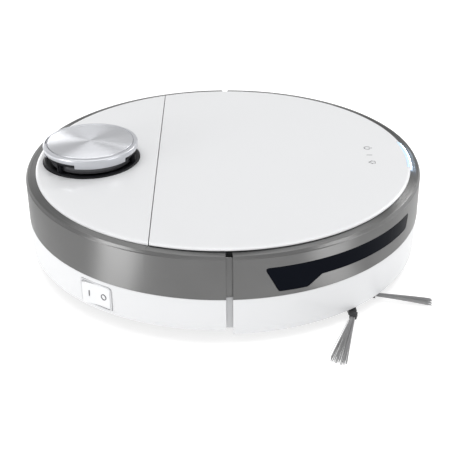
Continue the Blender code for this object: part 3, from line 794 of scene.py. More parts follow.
def bristle_tree() -> NodeTree:
    """Bristles that leave the first seed point along +X, fan out and bend down.

    Returns:
        The tree, with inputs for its sizes and its seed.
    """
    made = NodeTree("bristle_tuft")
    for name, value in (
        ("Count", 110), ("Length", 0.06), ("Spread", 0.12), ("Root", 0.002),
        ("Droop", 0.004), ("Radius", 0.0002), ("Seed", 1),
    ):
        made.number(name, value)
    root = made.given("Root")
    low = made.add("ShaderNodeCombineXYZ", {
        "Y": made.math("MULTIPLY", root, -1.0), "Z": made.math("MULTIPLY", root, -0.4),
    })
    high = made.add("ShaderNodeCombineXYZ", {"Y": root, "Z": made.math("MULTIPLY", root, 0.4)})
    place = made.add("FunctionNodeRandomValue", data_type="FLOAT_VECTOR")
    for socket, source in ((0, low), (1, high)):
        made.tree.links.new(source.outputs[0], place.inputs[socket])
    made.tree.links.new(made.given("Seed"), place.inputs["Seed"])
    points = made.add("GeometryNodePoints", {"Count": made.given("Count"), "Position": place.outputs[0]})
    tip = made.add("ShaderNodeCombineXYZ", {"X": made.given("Length")})
    line = made.add("GeometryNodeCurvePrimitiveLine", {"End": tip.outputs[0]})
    fine = made.add("GeometryNodeResampleCurve", {"Curve": line.outputs[0]})
    fine.inputs["Count"].default_value = 9
    where = made.add("GeometryNodeInputPosition")
    split = made.add("ShaderNodeSeparateXYZ", {"Vector": where.outputs[0]})
    share = made.math("DIVIDE", split.outputs["Y"], root)
    jitter = made.add("FunctionNodeRandomValue", data_type="FLOAT")
    jitter.inputs[2].default_value = -0.35
    jitter.inputs[3].default_value = 0.35
    yaw = made.math("MULTIPLY", made.math("ADD", share, jitter.outputs[1]), made.given("Spread"))
    pitch = made.add("FunctionNodeRandomValue", data_type="FLOAT")
    pitch.inputs[2].default_value = -0.02
    pitch.inputs[3].default_value = 0.03
    turn = made.add("ShaderNodeCombineXYZ", {"Y": pitch.outputs[1], "Z": yaw})
    size = made.add("FunctionNodeRandomValue", data_type="FLOAT")
    size.inputs[2].default_value = 0.90
    size.inputs[3].default_value = 1.0
    laid = made.add("GeometryNodeInstanceOnPoints", {
        "Points": points.outputs[0], "Instance": fine.outputs[0],
        "Rotation": turn.outputs[0], "Scale": size.outputs[1],
    })
    real = made.add("GeometryNodeRealizeInstances", {"Geometry": laid.outputs[0]})
    along = made.add("GeometryNodeSplineParameter")
    bend = made.math("POWER", along.outputs["Factor"], 2.0)
    drop = made.math("MULTIPLY", made.math("MULTIPLY", bend, made.given("Droop")), -1.0)
    offset = made.add("ShaderNodeCombineXYZ", {"Z": drop})
    bent = made.add("GeometryNodeSetPosition", {"Geometry": real.outputs[0], "Offset": offset.outputs[0]})
    ring = made.add("GeometryNodeCurvePrimitiveCircle", {"Radius": made.given("Radius")})
    ring.inputs["Resolution"].default_value = 4
    tube = made.add("GeometryNodeCurveToMesh", {
        "Curve": bent.outputs[0], "Profile Curve": ring.outputs[0], "Fill Caps": True,
    })
    made.close(tube.outputs[0], BRISTLE)
    return made


def lug_tree() -> NodeTree:
    """Blocks set round a wheel that turns about Y, slanted across its tread.

    Returns:
        The tree, with inputs for its sizes.
    """
    made = NodeTree("tread_lugs")
    for name, value in (("Count", 36), ("Radius", 0.034), ("Width", 0.01), ("Thick", 0.003), ("Tall", 0.002),
                        ("Slant", 0.4)):
        made.number(name, value)
    ring = made.add("GeometryNodeMeshCircle", {
        "Vertices": made.given("Count"), "Radius": made.given("Radius"),
    })
    points = made.add("GeometryNodeMeshToPoints", {"Mesh": ring.outputs[0]})
    size = made.add("ShaderNodeCombineXYZ", {
        "X": made.given("Thick"), "Y": made.given("Width"), "Z": made.given("Tall"),
    })
    block = made.add("GeometryNodeMeshCube", {"Size": size.outputs[0]})
    slant = made.add("ShaderNodeCombineXYZ", {"Z": made.given("Slant")})
    turned = made.add("GeometryNodeTransform", {"Geometry": block.outputs[0], "Rotation": slant.outputs[0]})
    where = made.add("GeometryNodeInputPosition")
    split = made.add("ShaderNodeSeparateXYZ", {"Vector": where.outputs[0]})
    flat = made.add("ShaderNodeCombineXYZ", {"X": split.outputs["X"], "Z": split.outputs["Y"]})
    raised = made.add("GeometryNodeSetPosition", {"Geometry": points.outputs[0], "Position": flat.outputs[0]})
    where_now = made.add("GeometryNodeInputPosition")
    split_now = made.add("ShaderNodeSeparateXYZ", {"Vector": where_now.outputs[0]})
    heading = made.math("ARCTAN2", split_now.outputs["X"], split_now.outputs["Z"])
    turn = made.add("ShaderNodeCombineXYZ", {"Y": heading})
    laid = made.add("GeometryNodeInstanceOnPoints", {
        "Points": raised.outputs[0], "Instance": turned.outputs[0], "Rotation": turn.outputs[0],
    })
    made.close(laid.outputs[0], RUBBER)
    return made


def screw_tree() -> NodeTree:
    """Cross-head screws that face down at every seed point.

    Returns:
        The tree, with inputs for its sizes.
    """
    made = NodeTree("pan_screws")
    for name, value in (("Radius", 0.0028), ("Tall", 0.0012), ("Slot", 0.0007)):
        made.number(name, value)
    points = made.add("GeometryNodeMeshToPoints", {"Mesh": made.given("Geometry")})
    head = made.add("GeometryNodeMeshCylinder", {
        "Vertices": 24, "Radius": made.given("Radius"), "Depth": made.given("Tall"),
    })
    long = made.math("MULTIPLY", made.given("Radius"), 1.3)
    arms = []
    for names in (("X", "Y"), ("Y", "X")):
        size = made.add("ShaderNodeCombineXYZ", {
            names[0]: long, names[1]: made.given("Slot"), "Z": made.given("Tall"),
        })
        cube = made.add("GeometryNodeMeshCube", {"Size": size.outputs[0]})
        down = made.add("ShaderNodeCombineXYZ", {"Z": made.math("MULTIPLY", made.given("Tall"), -0.5)})
        arms.append(made.add("GeometryNodeTransform", {
            "Geometry": cube.outputs[0], "Translation": down.outputs[0],
        }))
    cross = made.add("GeometryNodeMeshBoolean", operation="DIFFERENCE")
    made.tree.links.new(head.outputs[0], cross.inputs[0])
    for arm in arms:
        made.tree.links.new(arm.outputs[0], cross.inputs[1])
    laid = made.add("GeometryNodeInstanceOnPoints", {
        "Points": points.outputs[0], "Instance": cross.outputs[0],
    })
    made.close(laid.outputs[0], STEEL)
    return made


# --- The shells ---


@dataclass
class Shells:
    """The silver band, the white skirts, the side windows and the power switch."""

    wall: float = 2.6
    steps_per_degree: float = 1.0
    lip: float = 165.4
    tongue: Point = (169.2, 170.6)
    tongue_starts: Point = (86.6, 267.6)
    tongue_turn: float = 5.8
    window_inner: float = 173.0

    def band_profile(self, lip: float, ledge: float) -> list[Point]:
        """The band's section: a wall whose rim reaches in to `lip`, with its inner part `ledge` lower.

        Args:
            lip: The radius that the rim reaches in to.
            ledge: How far the inner part lies below the rim.

        Returns:
            The section as (radius, height) corners in millimetres.
        """
        outer, low, rim = BODY.radius, BODY.band_low, BODY.rim
        corners = [
            (outer - self.wall, low), (outer, low), (outer, rim - 2.8), (outer - 0.5, rim - 2.3),
            (outer - 1.5, rim), (outer - 4.2, rim), (outer - 4.6, rim - ledge), (lip, rim - ledge),
            (lip, rim - 2.4), (outer - self.wall, rim - 2.4),
        ]
        return fillet(corners, 0.25, 3)

    def skirt_profile(self, low: float, foot: float, lip: float) -> list[Point]:
        """A white skirt's section, with a fine step `lip` above its lower edge.

        Args:
            low: The height of its lower edge.
            foot: The outer radius at that edge.
            lip: How far the step lies above it.

        Returns:
            The section as (radius, height) corners in millimetres.
        """
        outer, top = BODY.radius, BODY.band_low - 0.3
        corners = [
            (outer - 3.2, top), (outer - 0.3, top), (foot + 0.45, low + lip + 0.4), (foot + 0.1, low + lip),
            (foot, low), (foot - 1.7, low),
        ]
        return fillet(corners, 0.3, 3)

    def window_outline(self, grow: float) -> list[Point]:
        """The side window seen from the side, as (x, z), with its edge moved out by `grow`.

        Args:
            grow: How far its edge moves out, in millimetres.

        Returns:
            The outline's points.
        """
        corners = [
            (29.6 - grow, 67.9 + grow), (41.0 - grow, 46.3 - grow), (63.5 + grow, 46.0 - grow),
            (75.0 + grow, 54.6 - grow), (151.5 + grow, 54.2 - grow), (153.7 + grow, 67.9 + grow),
        ]
        return fillet(corners, 2.6, 5)

    def window_block(self, side: Side, grow: float) -> bpy.types.Object:
        """The window's outline drawn out sideways through the band.

        Args:
            side: The side that the window is on.
            grow: How far its edge moves out, in millimetres.

        Returns:
            The block.
        """
        block = slab("window_block", [self.window_outline(grow)], 60.0, 190.0)
        spin(block, 90.0, "X")
        if side is Side.LEFT:
            block.data.transform(Matrix.Scale(-1, 4, (0, 1, 0)))
            block.data.flip_normals()
        return block

    def build_bumper(self) -> None:
        """Builds the front band, its two windows and the front skirt."""
        end = math.degrees(math.acos(BODY.gap_rear / BODY.radius))
        steps = round(2 * end * self.steps_per_degree)
        band = sweep("front_band", self.band_profile(self.lip, 0.5), -end, end, steps)
        for side in Side:
            carve(band, [self.window_block(side, 0.25)])
            sign = side.value
            pane_profile = fillet([
                (self.window_inner, 44.0), (BODY.radius - 0.1, 44.0),
                (BODY.radius - 0.1, 70.0), (self.window_inner, 70.0),
            ], 0.1, 1)
            pane = sweep(f"window_pane_{side.word}", pane_profile, *sorted((24.0 * sign, 86.0 * sign)), 62)
            carve(pane, [self.window_block(side, 0.0)], "INTERSECT")
            dress(pane, WINDOW, "bumper", "black_gloss", f"bumper_window_{side.word}")
        dress(band, SILVER, "bumper", "silver_band", "bumper_band")
        skirt = sweep("front_skirt", self.skirt_profile(BODY.skirt_low, 173.2, 4.0), -end, end, steps)
        dress(skirt, SHADED_SKIRT_WHITE, "bumper", "white_shell", "bumper_skirt")

    def build_rear(self) -> None:
        """Builds the rear band and skirt, with the tongues that close the side gaps."""
        seam = math.degrees(math.acos(BODY.seam_cover / BODY.top_radius)) + 0.2
        steps = round((360.0 - 2 * seam) * self.steps_per_degree)
        parts = [sweep("band_rear", self.band_profile(164.6, 0.15), seam, 360.0 - seam, steps)]
        for start, stop in ((90.0, seam), (360.0 - seam, 270.0)):
            parts.append(sweep("band_side", self.band_profile(self.lip, 0.5), start, stop, 20))
        inner, outer = self.tongue
        high = [(inner, BODY.band_low), (outer, BODY.band_low), (outer, 77.0), (inner, 77.0)]
        low = [(inner, BODY.rear_low), (outer, BODY.rear_low), (outer, 41.7), (inner, 41.7)]
        for start in self.tongue_starts:
            parts.append(sweep("band_tongue", fillet(high, 0.3, 2), start, start + self.tongue_turn, 6))
        band = merged("rear_band_shell", parts)
        dress(band, SILVER, "chassis", "silver_band", "rear_band")
        skirt = sweep("skirt_rear", self.skirt_profile(BODY.rear_low, 174.2, 3.0), 90.0, 270.0, 180)
        switch = PowerSwitch()
        carve(skirt, [switch.opening()])
        tongues = [
            sweep("skirt_tongue", fillet(low, 0.3, 2), start, start + self.tongue_turn, 6)
            for start in self.tongue_starts
        ]
        shell = merged("rear_skirt_shell", [skirt, *tongues])
        dress(shell, SHADED_SKIRT_WHITE, "chassis", "white_shell", "rear_skirt")
        switch.build()


@dataclass
class PowerSwitch:
    """The rocker switch in the rear skirt, with its frame and its two marks."""

    angle: float = -126.4
    half_width: float = 16.2
    heights: Point = (16.0, 38.0)
    face: float = 175.4
    pivot: float = 169.8
    tilt: float = 7.0
    reach: float = 14.5
    rocker_heights: Point = (17.5, 36.5)

    def outward(self, piece: bpy.types.Object) -> bpy.types.Object:
        """Stands a flat piece, made as (across, up) with its face at its top, in the skirt.

        Args:
            piece: The flat piece.

        Returns:
            The same piece.
        """
        spin(piece, 90.0, "X")
        spin(piece, self.angle + 90.0, "Z")
        return piece

    def opening(self) -> bpy.types.Object:
        """The hole in the skirt."""
        outline = rectangle((-16.4, 16.4), (self.heights[0] - 0.2, self.heights[1] + 0.2), 3.4)
        return self.outward(slab("switch_opening", [outline], 160.0, 190.0))

    def build(self) -> None:
        """Builds the frame, the rocker and its marks."""
        low, high = self.heights
        rim = rectangle((-self.half_width, self.half_width), (low, high), 3.6)
        room = rectangle((-14.9, 14.9), (low + 1.2, high - 1.2), 2.8)
        bezel = soften(slab("switch_bezel", [rim, room], 169.0, self.face - 0.5), 0.35, 2)
        # The frame takes a grey that is painted shade round the rocker.
        dress(self.outward(bezel), SWITCH_FRAME_PAINTED_SHADE, "chassis", "white_shell", "switch_frame")
        reach = self.reach
        top = self.face - self.pivot + 0.4
        rise = math.degrees(math.asin(top / reach))
        end = arc(reach, 4.0, rise, 6)
        valley = arc(60.0, 270.0 - 8.0, 270.0 + 8.0, 10, (0.0, top - 1.1 + 60.0))
        middle = [point for point in reversed(valley) if abs(point[0]) < reach * 0.6]
        outline = [*end, *middle, *((-x, y) for x, y in reversed(end))]
        rocker = slab("rocker", [outline], *self.rocker_heights)
        front = rectangle((-reach, reach), self.rocker_heights, 2.6)
        carve(rocker, [spin(slab("corners", [front], -12, 12), 90, "X")], "INTERSECT")
        soften(rocker, 0.4, 3, 25.0)
        marks = [self.mark_on(), self.mark_off()]
        at = Vector((math.cos(math.radians(self.angle)), math.sin(math.radians(self.angle)), 0.0))
        turn = Matrix.Rotation(math.radians(self.angle - 90.0 + self.tilt), 4, "Z")
        place = Matrix.Translation(at * self.pivot * MM) @ turn
        move(rocker, place)
        dress(rocker, WHITE, "rocker", "white_shell", "power_rocker")
        for mark in marks:
            move(mark, place)
            dress(mark, PRINT, "rocker", "grey_plastic")

    def print_at(self, piece: bpy.types.Object, across: float) -> bpy.types.Object:
        """Stands a flat mark on one half of the rocker.

        Args:
            piece: The mark.
            across: How far it lies from the rocker's middle, in millimetres.

        Returns:
            The same piece.
        """
        spin(piece, -90.0, "X")
        spin(piece, math.degrees(math.atan2(0.9, 7.0)) * math.copysign(1.0, across), "Z")
        return shift(piece, across, self.face - self.pivot - 0.35, 27.0)

    def mark_on(self) -> bpy.types.Object:
        """The stroke on the pressed half."""
        stroke = slab("mark_stroke", [rectangle((-0.35, 0.35), (-2.6, 2.6), 0.2)], 0.0, 0.5)
        return self.print_at(stroke, 7.0)

    def mark_off(self) -> bpy.types.Object:
        """The ring on the proud half."""
        ring = slab("mark_ring", [arc(2.7, 0, 360, 40)[:-1], arc(2.1, 0, 360, 40)[:-1]], 0.0, 0.5)
        return self.print_at(ring, -7.0)


@dataclass
class BumperSpring:
    """A conical coil between the pan and the bumper, small enough to clear the pressed bumper."""

    side: Side
    foot: tuple[float, float, float] = (133.3, 95.0, 60.0)
    length: float = 5.6
    radii: Point = (3.0, 1.2)
    wire: float = 0.35
    turns: int = 5
    per_turn: int = 24

    def build(self) -> None:
        """Builds the coil along the robot's length."""
        name = f"cone_spring_{self.side.word}"
        curve = bpy.data.curves.new(name, "CURVE")
        curve.dimensions = "3D"
        curve.bevel_depth = self.wire * MM
        curve.bevel_resolution = 2
        curve.use_fill_caps = True
        spline = curve.splines.new("POLY")
        count = self.turns * self.per_turn
        spline.points.add(count)
        wide, narrow = self.radii
        for i, point in enumerate(spline.points):
            share = i / count
            angle = math.tau * self.turns * share
            radius = wide + (narrow - wide) * share
            across, up = radius * math.cos(angle), radius * math.sin(angle)
            point.co = (self.length * share * MM, across * MM, up * MM, 1.0)
        shape = bpy.data.objects.new(name, curve)
        bpy.context.scene.collection.objects.link(shape)
        mesh = bpy.data.meshes.new_from_object(shape.evaluated_get(bpy.context.evaluated_depsgraph_get()))
        bpy.data.objects.remove(shape)
        coil = link_mesh(name, mesh)
        x, y, z = self.foot
        shift(coil, x, y * self.side.value, z)
        dress(coil, STEEL, "chassis", "steel", f"bumper_spring_{self.side.word}")


@dataclass
class Top:
    """The lid, the rear cover, the touch marks and the status light."""

    rim_round: Point = (3.6, 1.3)
    mark_x: float = 131.5
    mark_spacing: float = 15.4
    stroke: float = 0.75
    print_thick: float = 0.06

    def plate(self, name: str, low: float) -> bpy.types.Object:
        """The whole crowned plate, before it is cut at the seam.

        Args:
            name: The piece's name.
            low: The height of its underside in millimetres.

        Returns:
            The plate.
        """
        radius = BODY.top_radius
        wide, tall = self.rim_round
        inner = radius - wide
        crown = [(inner * i / 12, BODY.crown_height(inner * i / 12)) for i in range(13)]
        edge = BODY.crown_height(inner)
        corner = [(inner + wide * x, edge - tall + tall * z) for x, z in arc(1.0, 90.0, 0.0, 8)[1:]]
        return lathe(name, [*crown, *corner, (radius, low), (0.0, low)], 240)

    def cut_at(self, plate: bpy.types.Object, seam: float, front: bool) -> bpy.types.Object:
        """Keeps the part of a plate in front of the seam, or behind it.

        Args:
            plate: The whole plate, which is removed.
            seam: The cut's place along X in millimetres.
            front: Whether the front part stays.

        Returns:
            The part that stays.
        """
        work = bmesh.new()
        work.from_mesh(plate.data)
        bpy.data.objects.remove(plate)
        cut = bmesh.ops.bisect_plane(
            work, geom=[*work.verts, *work.edges, *work.faces], plane_co=(seam * MM, 0, 0),
            plane_no=(1, 0, 0), clear_inner=front, clear_outer=not front,
        )
        edges = [e for e in cut["geom_cut"] if isinstance(e, bmesh.types.BMEdge)]
        bmesh.ops.contextual_create(work, geom=edges)
        return from_bmesh("lid_shell" if front else "rear_cover_shell", work)

    def build(self) -> None:
        """Builds the plates, the marks and the light."""
        lid = self.cut_at(self.plate("plate", BODY.top_low), BODY.seam_lid, True)
        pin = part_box("lid_hinge_pin")
        pin_x = (pin[0].x + pin[1].x) / 2 / MM
        channel = slab("channel", [rectangle((pin_x - 5.0, pin_x + 1.5), (-125.0, 125.0))], 75.0, 82.2)
        notch = sweep("notch", [(163.4, 78.0), (168.5, 78.0), (168.5, 86.0), (163.4, 86.0)], -8.6, 10.6, 19)
        carve(lid, [channel, notch])
        soften(lid, 0.5, 3, 60.0)
        dress(lid, WHITE, "lid", "white_shell", "lid")
        cover = self.cut_at(self.plate("plate", BODY.rim + 0.1), BODY.seam_cover, False)
        hole = shift(slab("turret_hole", [arc(43.3, 0, 360, 120)[:-1]], 70.0, 90.0), -118.0, 0.0)
        carve(cover, [hole])
        soften(cover, 0.5, 3, 60.0)
        dress(cover, WHITE, "chassis", "white_shell", "rear_cover")
        lens = fillet([(163.6, 80.5), (166.9, 80.5), (166.9, 80.9), (165.9, 81.7), (163.6, 82.0)], 0.2, 2)
        dress(sweep("light_bar", lens, -8.4, 10.4, 38), LIGHT, "lid", "white_light", "status_light")
        strip = fillet([(166.4, 80.1), (167.5, 80.1), (167.5, 80.45), (166.4, 80.45)], 0.1, 1)
        dress(sweep("light_strip", strip, -8.0, 10.0, 36), GLOW, "lid", "white_light")
        self.build_marks()

    def build_marks(self) -> None:
        """Prints a power mark, a divider and a home mark across the front of the lid."""
        half = self.stroke / 2
        ring = [*arc(2.9 + half, -50, 230, 30), *reversed(arc(2.9 - half, -50, 230, 30))]
        thick = self.print_thick
        stem = rectangle((-half, half), (-4.4, -1.2))
        power = [slab("mark", [ring], 0, thick), slab("mark", [stem], 0, thick)]
        divider = [slab("mark", [rectangle((-half, half), (-2.6, 2.6))], 0, thick)]
        roof = [(-3.4, -0.4), (0.0, 3.2), (3.4, -0.4), (2.8, -1.0), (0.0, 2.2), (-2.8, -1.0)]
        walls = [
            (-2.4, -3.2), (2.4, -3.2), (2.4, 0.0), (1.9, 0.0),
            (1.9, -2.7), (-1.9, -2.7), (-1.9, 0.0), (-2.4, 0.0),
        ]
        home = [slab("mark", [roof[::-1]], 0, thick), slab("mark", [walls], 0, thick)]
        for name, parts, at_y in (
            ("power_mark", power, self.mark_spacing), ("divider_mark", divider, 0.0),
            ("home_mark", home, -self.mark_spacing),
        ):
            mark = merged(name, parts)
            spin(mark, 90.0)
            level = BODY.crown_height(math.hypot(self.mark_x, at_y))
            shift(mark, self.mark_x, at_y, level)
            for vertex in mark.data.vertices:
                distance = math.hypot(vertex.co.x, vertex.co.y) / MM
                vertex.co.z += (BODY.crown_height(distance) - level + 0.01) * MM
            dress(mark, PRINT, "lid", "grey_plastic")


@dataclass
class Turret:
    """The lidar turret: base ring, smoked window, cap with three skirts, and spun disc."""

    x: float = -118.0
    radius: float = 42.0
    cap_low: float = 90.4
    cut_top: float = 94.0
    posts: tuple[float, ...] = (-129.0, -15.0, 108.0)
    opening_middles: tuple[float, ...] = (-131.0, -11.0, 109.0)

    def build(self) -> None:
        """Builds the turret's pieces."""
        top = TURRET_HIGH.z / MM
        base = fillet([
            (34.0, 76.3), (42.8, 76.3), (42.8, 83.3), (41.4, 84.0), (39.4, 84.0), (39.4, 82.6), (34.0, 82.6),
        ], 0.3, 2)
        parts = [sweep("base", base, 0, 360, 144)]
        for angle in self.posts:
            post = slab("post", [rectangle((36.9, 39.9), (-2.2, 2.2), 0.6)], 80.0, 91.0)
            rib = slab("rib", [rectangle((38.0, 41.0), (-0.8, 0.8), 0.3)], 80.0, 90.2)
            parts += [spin(post, angle), spin(rib, angle)]
        dress(self.at_turret(merged("turret_ring", parts)), WELL, "chassis", "black_plastic", "turret_base")
        pane = fillet([(35.2, 84.2), (36.4, 84.2), (36.4, 96.3), (35.2, 96.3)], 0.2, 1)
        window = self.at_turret(sweep("turret_pane", pane, 0, 360, 120))
        dress(window, SMOKED, "chassis", "smoked_plastic", "turret_window")
        edge = [(38.6, top), *arc(1.5, 80.0, 0.0, 5, (40.5, top - 1.8)), (41.2, self.cap_low)]
        cap = lathe("turret_top", [
            (0.0, 98.6), (38.2, 98.6), (38.2, top - 0.2), *edge, (39.9, self.cap_low),
            (39.9, 95.8), (0.0, 96.6),
        ], 144)
        cutters = []
        for middle in self.opening_middles:
            low = [(37.5, 84.0), (46.0, 84.0), (46.0, self.cut_top), (37.5, self.cut_top)]
            cutters.append(sweep("skirt_cut", low, middle - 27.0, middle + 27.0, 27))
        carve(cap, cutters)
        soften(cap, 0.35, 2, 50.0)
        dress(self.at_turret(cap), SATIN, "chassis", "silver_plastic", "turret_cap")
        strip = fillet([(38.4, 90.6), (39.7, 90.6), (39.7, 95.0), (38.4, 95.0)], 0.2, 1)
        strips = [sweep("strip", strip, middle - 29.0, middle + 29.0, 29) for middle in self.opening_middles]
        dress(self.at_turret(merged("turret_smoked_strips", strips)), WELL, "chassis", "smoked_plastic")
        disc = [(0.0, DISC_TOP), (36.9, DISC_TOP), (37.7, DISC_TOP - 0.3), (37.8, 98.9), (0.0, 98.9)]
        spun = self.at_turret(lathe("turret_spun_disc", disc, 144))
        dress(spun, SPUN, "chassis", "spun_disc", "turret_disc")
        slot = fillet([(39.0, top - 0.6), (39.9, top - 0.6), (39.9, top + 0.05), (39.0, top + 0.05)], 0.1, 1)
        dress(self.at_turret(sweep("turret_slot", slot, 166.0, 186.0, 20)), BLACK, "chassis", "black_plastic")

    def at_turret(self, piece: bpy.types.Object) -> bpy.types.Object:
        """Moves a piece from the body's middle to the turret's."""
        return shift(piece, self.x, 0.0)


@dataclass
class SideBrush:
    """Three bristle tufts in the hub's arms."""

    arms: tuple[tuple[float, float, float, float], ...] = (
        (-85.0, -108.6, 62.0, 0.085), (23.0, -9.0, 51.5, 0.075), (143.0, 123.0, 54.0, 0.08),
    )
    spindle: Point = (101.5, -122.0)
    reach: float = 20.5
    height: float = 6.4

    def build(self) -> None:
        """Builds each tuft with its ferrule."""
        keep("side_brush_hub", BLACK)
        centre = Vector((*self.spindle, 0.0)) * MM + BODY.home
        tree = bristle_tree()
        for number, (arm, heading, length, spread) in enumerate(self.arms, 1):
            tuft = tree.grow(
                f"bristles_{number}", [Vector((0, 0, 0))], Count=85, Length=length * MM, Spread=spread,
                Root=0.0016, Droop=0.0015, Radius=0.00017, Seed=number,
            )
            turn = math.radians(arm)
            foot = Vector((math.cos(turn), math.sin(turn), 0.0)) * (self.reach + 2.0) * MM
            slope = math.atan2(self.height - 4.2, length)
            place = (
                Matrix.Translation(centre + foot + Vector((0, 0, self.height * MM)))
                @ Matrix.Rotation(math.radians(heading), 4, "Z")
                @ Matrix.Rotation(slope, 4, "Y")
            )
            move(tuft, place)
            dress(tuft, BRISTLE, "side_brush", "bristle", f"side_brush_tuft_{number}", settle=False)
            ferrule = soften(slab("ferrule", [rectangle((-2.2, 3.4), (-3.0, 3.0), 0.8)], -1.9, 1.9), 0.4, 2)
            ferrule.name = f"ferrule_{number}"
            move(ferrule, place)
            dress(ferrule, BLACK, "side_brush", "black_plastic", settle=False)


@dataclass
class Underside:
    """Wheels, rollers, sensors and fasteners below the pan."""

    pan_low: float = 10.0
    sensor_angles: tuple[float, ...] = (-18.0, 18.0, 76.0, -76.0, 160.0, -160.0)
    tread_rows: tuple[Point, ...] = ((-4.6, 0.45), (4.6, -0.45))
    fin_count: int = 6
    fin_radii: Point = (9.6, 20.3)
    fin_twist: float = 50.0

    def build(self) -> None:
        """Builds the details below the chassis."""
        screws = [
            (150.0, 40.0), (150.0, -40.0), (60.0, 75.0), (60.0, -75.0), (-20.0, 60.0), (-20.0, -60.0),
            (-110.0, 95.0), (-110.0, -95.0), (-60.0, 140.0), (-60.0, -140.0), (80.0, 125.0), (-130.0, 0.0),
        ]
        seeds = [Vector((x, y, self.pan_low - 0.1)) * MM for x, y in screws]
        dress(screw_tree().grow("pan_screws", seeds, Radius=0.0028, Tall=0.0012), STEEL, "chassis", "steel")
        lenses = []
        for angle in self.sensor_angles:
            outline = rectangle((144.0, 151.0), (-8.0, 8.0), 2.5)
            lens = slab("lens", [outline], self.pan_low - 0.35, self.pan_low + 0.4)
            lenses.append(spin(lens, angle))
        dress(merged("cliff_sensor_lenses", lenses), WINDOW, "chassis", "black_gloss")
        self.build_wheels()
        self.build_main_brush()

    def build_wheels(self) -> None:
        """Builds the tyres with two rows of slanted lugs."""
        lugs = lug_tree()
        for side in Side:
            low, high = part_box(f"wheel_tyre_{side.word}")
            centre = (low + high) / 2
            rows = []
            for offset, slant in self.tread_rows:
                row = lugs.grow(
                    "lugs", [Vector((0, 0, 0))], Count=40, Radius=0.0341, Width=0.0086, Thick=0.0026,
                    Tall=0.0017, Slant=slant,
                )
                rows.append(shift(row, 0.0, offset))
            carcass = sweep("carcass", [
                (27.0, -9.9), (32.6, -9.9), (33.7, -8.6), (33.7, 8.6), (32.6, 9.9), (27.0, 9.9),
            ], 0.0, FULL_TURN, 96)
            tyre = merged(f"tyre_{side.word}", [spin(carcass, 90.0, "X"), *rows])
            move(tyre, Matrix.Translation(centre))
            dress(tyre, RUBBER, f"wheel_{side.word}", "rubber", f"wheel_tyre_{side.word}", settle=False)

    def build_main_brush(self) -> None:
        """Builds the roller's twisted fins."""
        low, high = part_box("brush_fins")
        centre = (low + high) / 2
        half = (high.y - low.y) / 2 / MM
        step = FULL_TURN / self.fin_count
        fins = [
            twisted_fin(step * number, *self.fin_radii, half - 0.5, self.fin_twist)
            for number in range(self.fin_count)
        ]
        piece = merged("roller_fins", fins)
        move(piece, Matrix.Translation(centre))
        dress(piece, FIN, "main_brush", "fin_rubber", "brush_fins", settle=False)


def twisted_fin(start: float, inner: float, outer: float, half: float, twist: float) -> bpy.types.Object:
    """One fin of a roller that lies along Y, twisted to a V from its middle to both ends.

    Args:
        start: The fin's angle at the roller's middle, in degrees.
        inner: The radius of its root in millimetres.
        outer: The radius of its lip.
        half: Half the roller's length.
        twist: How far both ends turn, in degrees.

    Returns:
        The fin, centred on the roller's middle.
    """
    work = bmesh.new()
    section = [
        (inner, -1.6), (outer - 2.0, -0.7), (outer, -0.5), (outer, 0.5), (outer - 2.0, 0.7), (inner, 1.6),
    ]
    rings = []
    count = 40
    for i in range(count + 1):
        along = -half + 2 * half * i / count
        angle = math.radians(start + twist * abs(along) / half)
        ring = []
        for radius, thick in section:
            x = radius * math.cos(angle) - thick * math.sin(angle)
            z = radius * math.sin(angle) + thick * math.cos(angle)
            ring.append(work.verts.new(Vector((x, along, z)) * MM))
        rings.append(ring)
    for first, second in zip(rings, rings[1:]):
        for k in range(len(section)):
            after = (k + 1) % len(section)
            work.faces.new((first[k], first[after], second[after], second[k]))
    work.faces.new(rings[0])
    work.faces.new(reversed(rings[-1]))
    return from_bmesh("fin", work)


KEPT: dict[str, Finish] = {
    "base_pan": BLACK, "upper_deck": GREY, "bin_well": GREY, "lid_hinge_pin": STEEL, "lidar_motor": BLACK,
    "lidar_rotor": BLACK, "dust_bin": SMOKED,
    "bin_cover": GREY, "bin_handle": BLACK, "filter_frame": BLACK, "filter_pleats": PAPER,
    "brush_housing": BLACK, "brush_core": BLACK, "brush_gearbox": GREY, "brush_guard": GREY,
    "guard_latch_right": FIN, "guard_latch_left": FIN, "side_brush_gearbox": GREY, "caster_socket": GREY,
    "caster_fork": BLACK, "caster_wheel": RUBBER, "caster_axle": STEEL, "fan_housing": BLACK,
    "fan_impeller": GREY, "battery_pack": SLEEVE, "battery_door": BLACK, "main_board": BOARD,
    "touch_board": BOARD, "charge_contact_right": STEEL, "charge_contact_left": STEEL,
    "wheel_arm_right": GREY, "wheel_arm_left": GREY, "wheel_hub_right": GREY, "wheel_hub_left": GREY,
    "wheel_spring_right": STEEL, "wheel_spring_left": STEEL,
}


# --- The studio ---


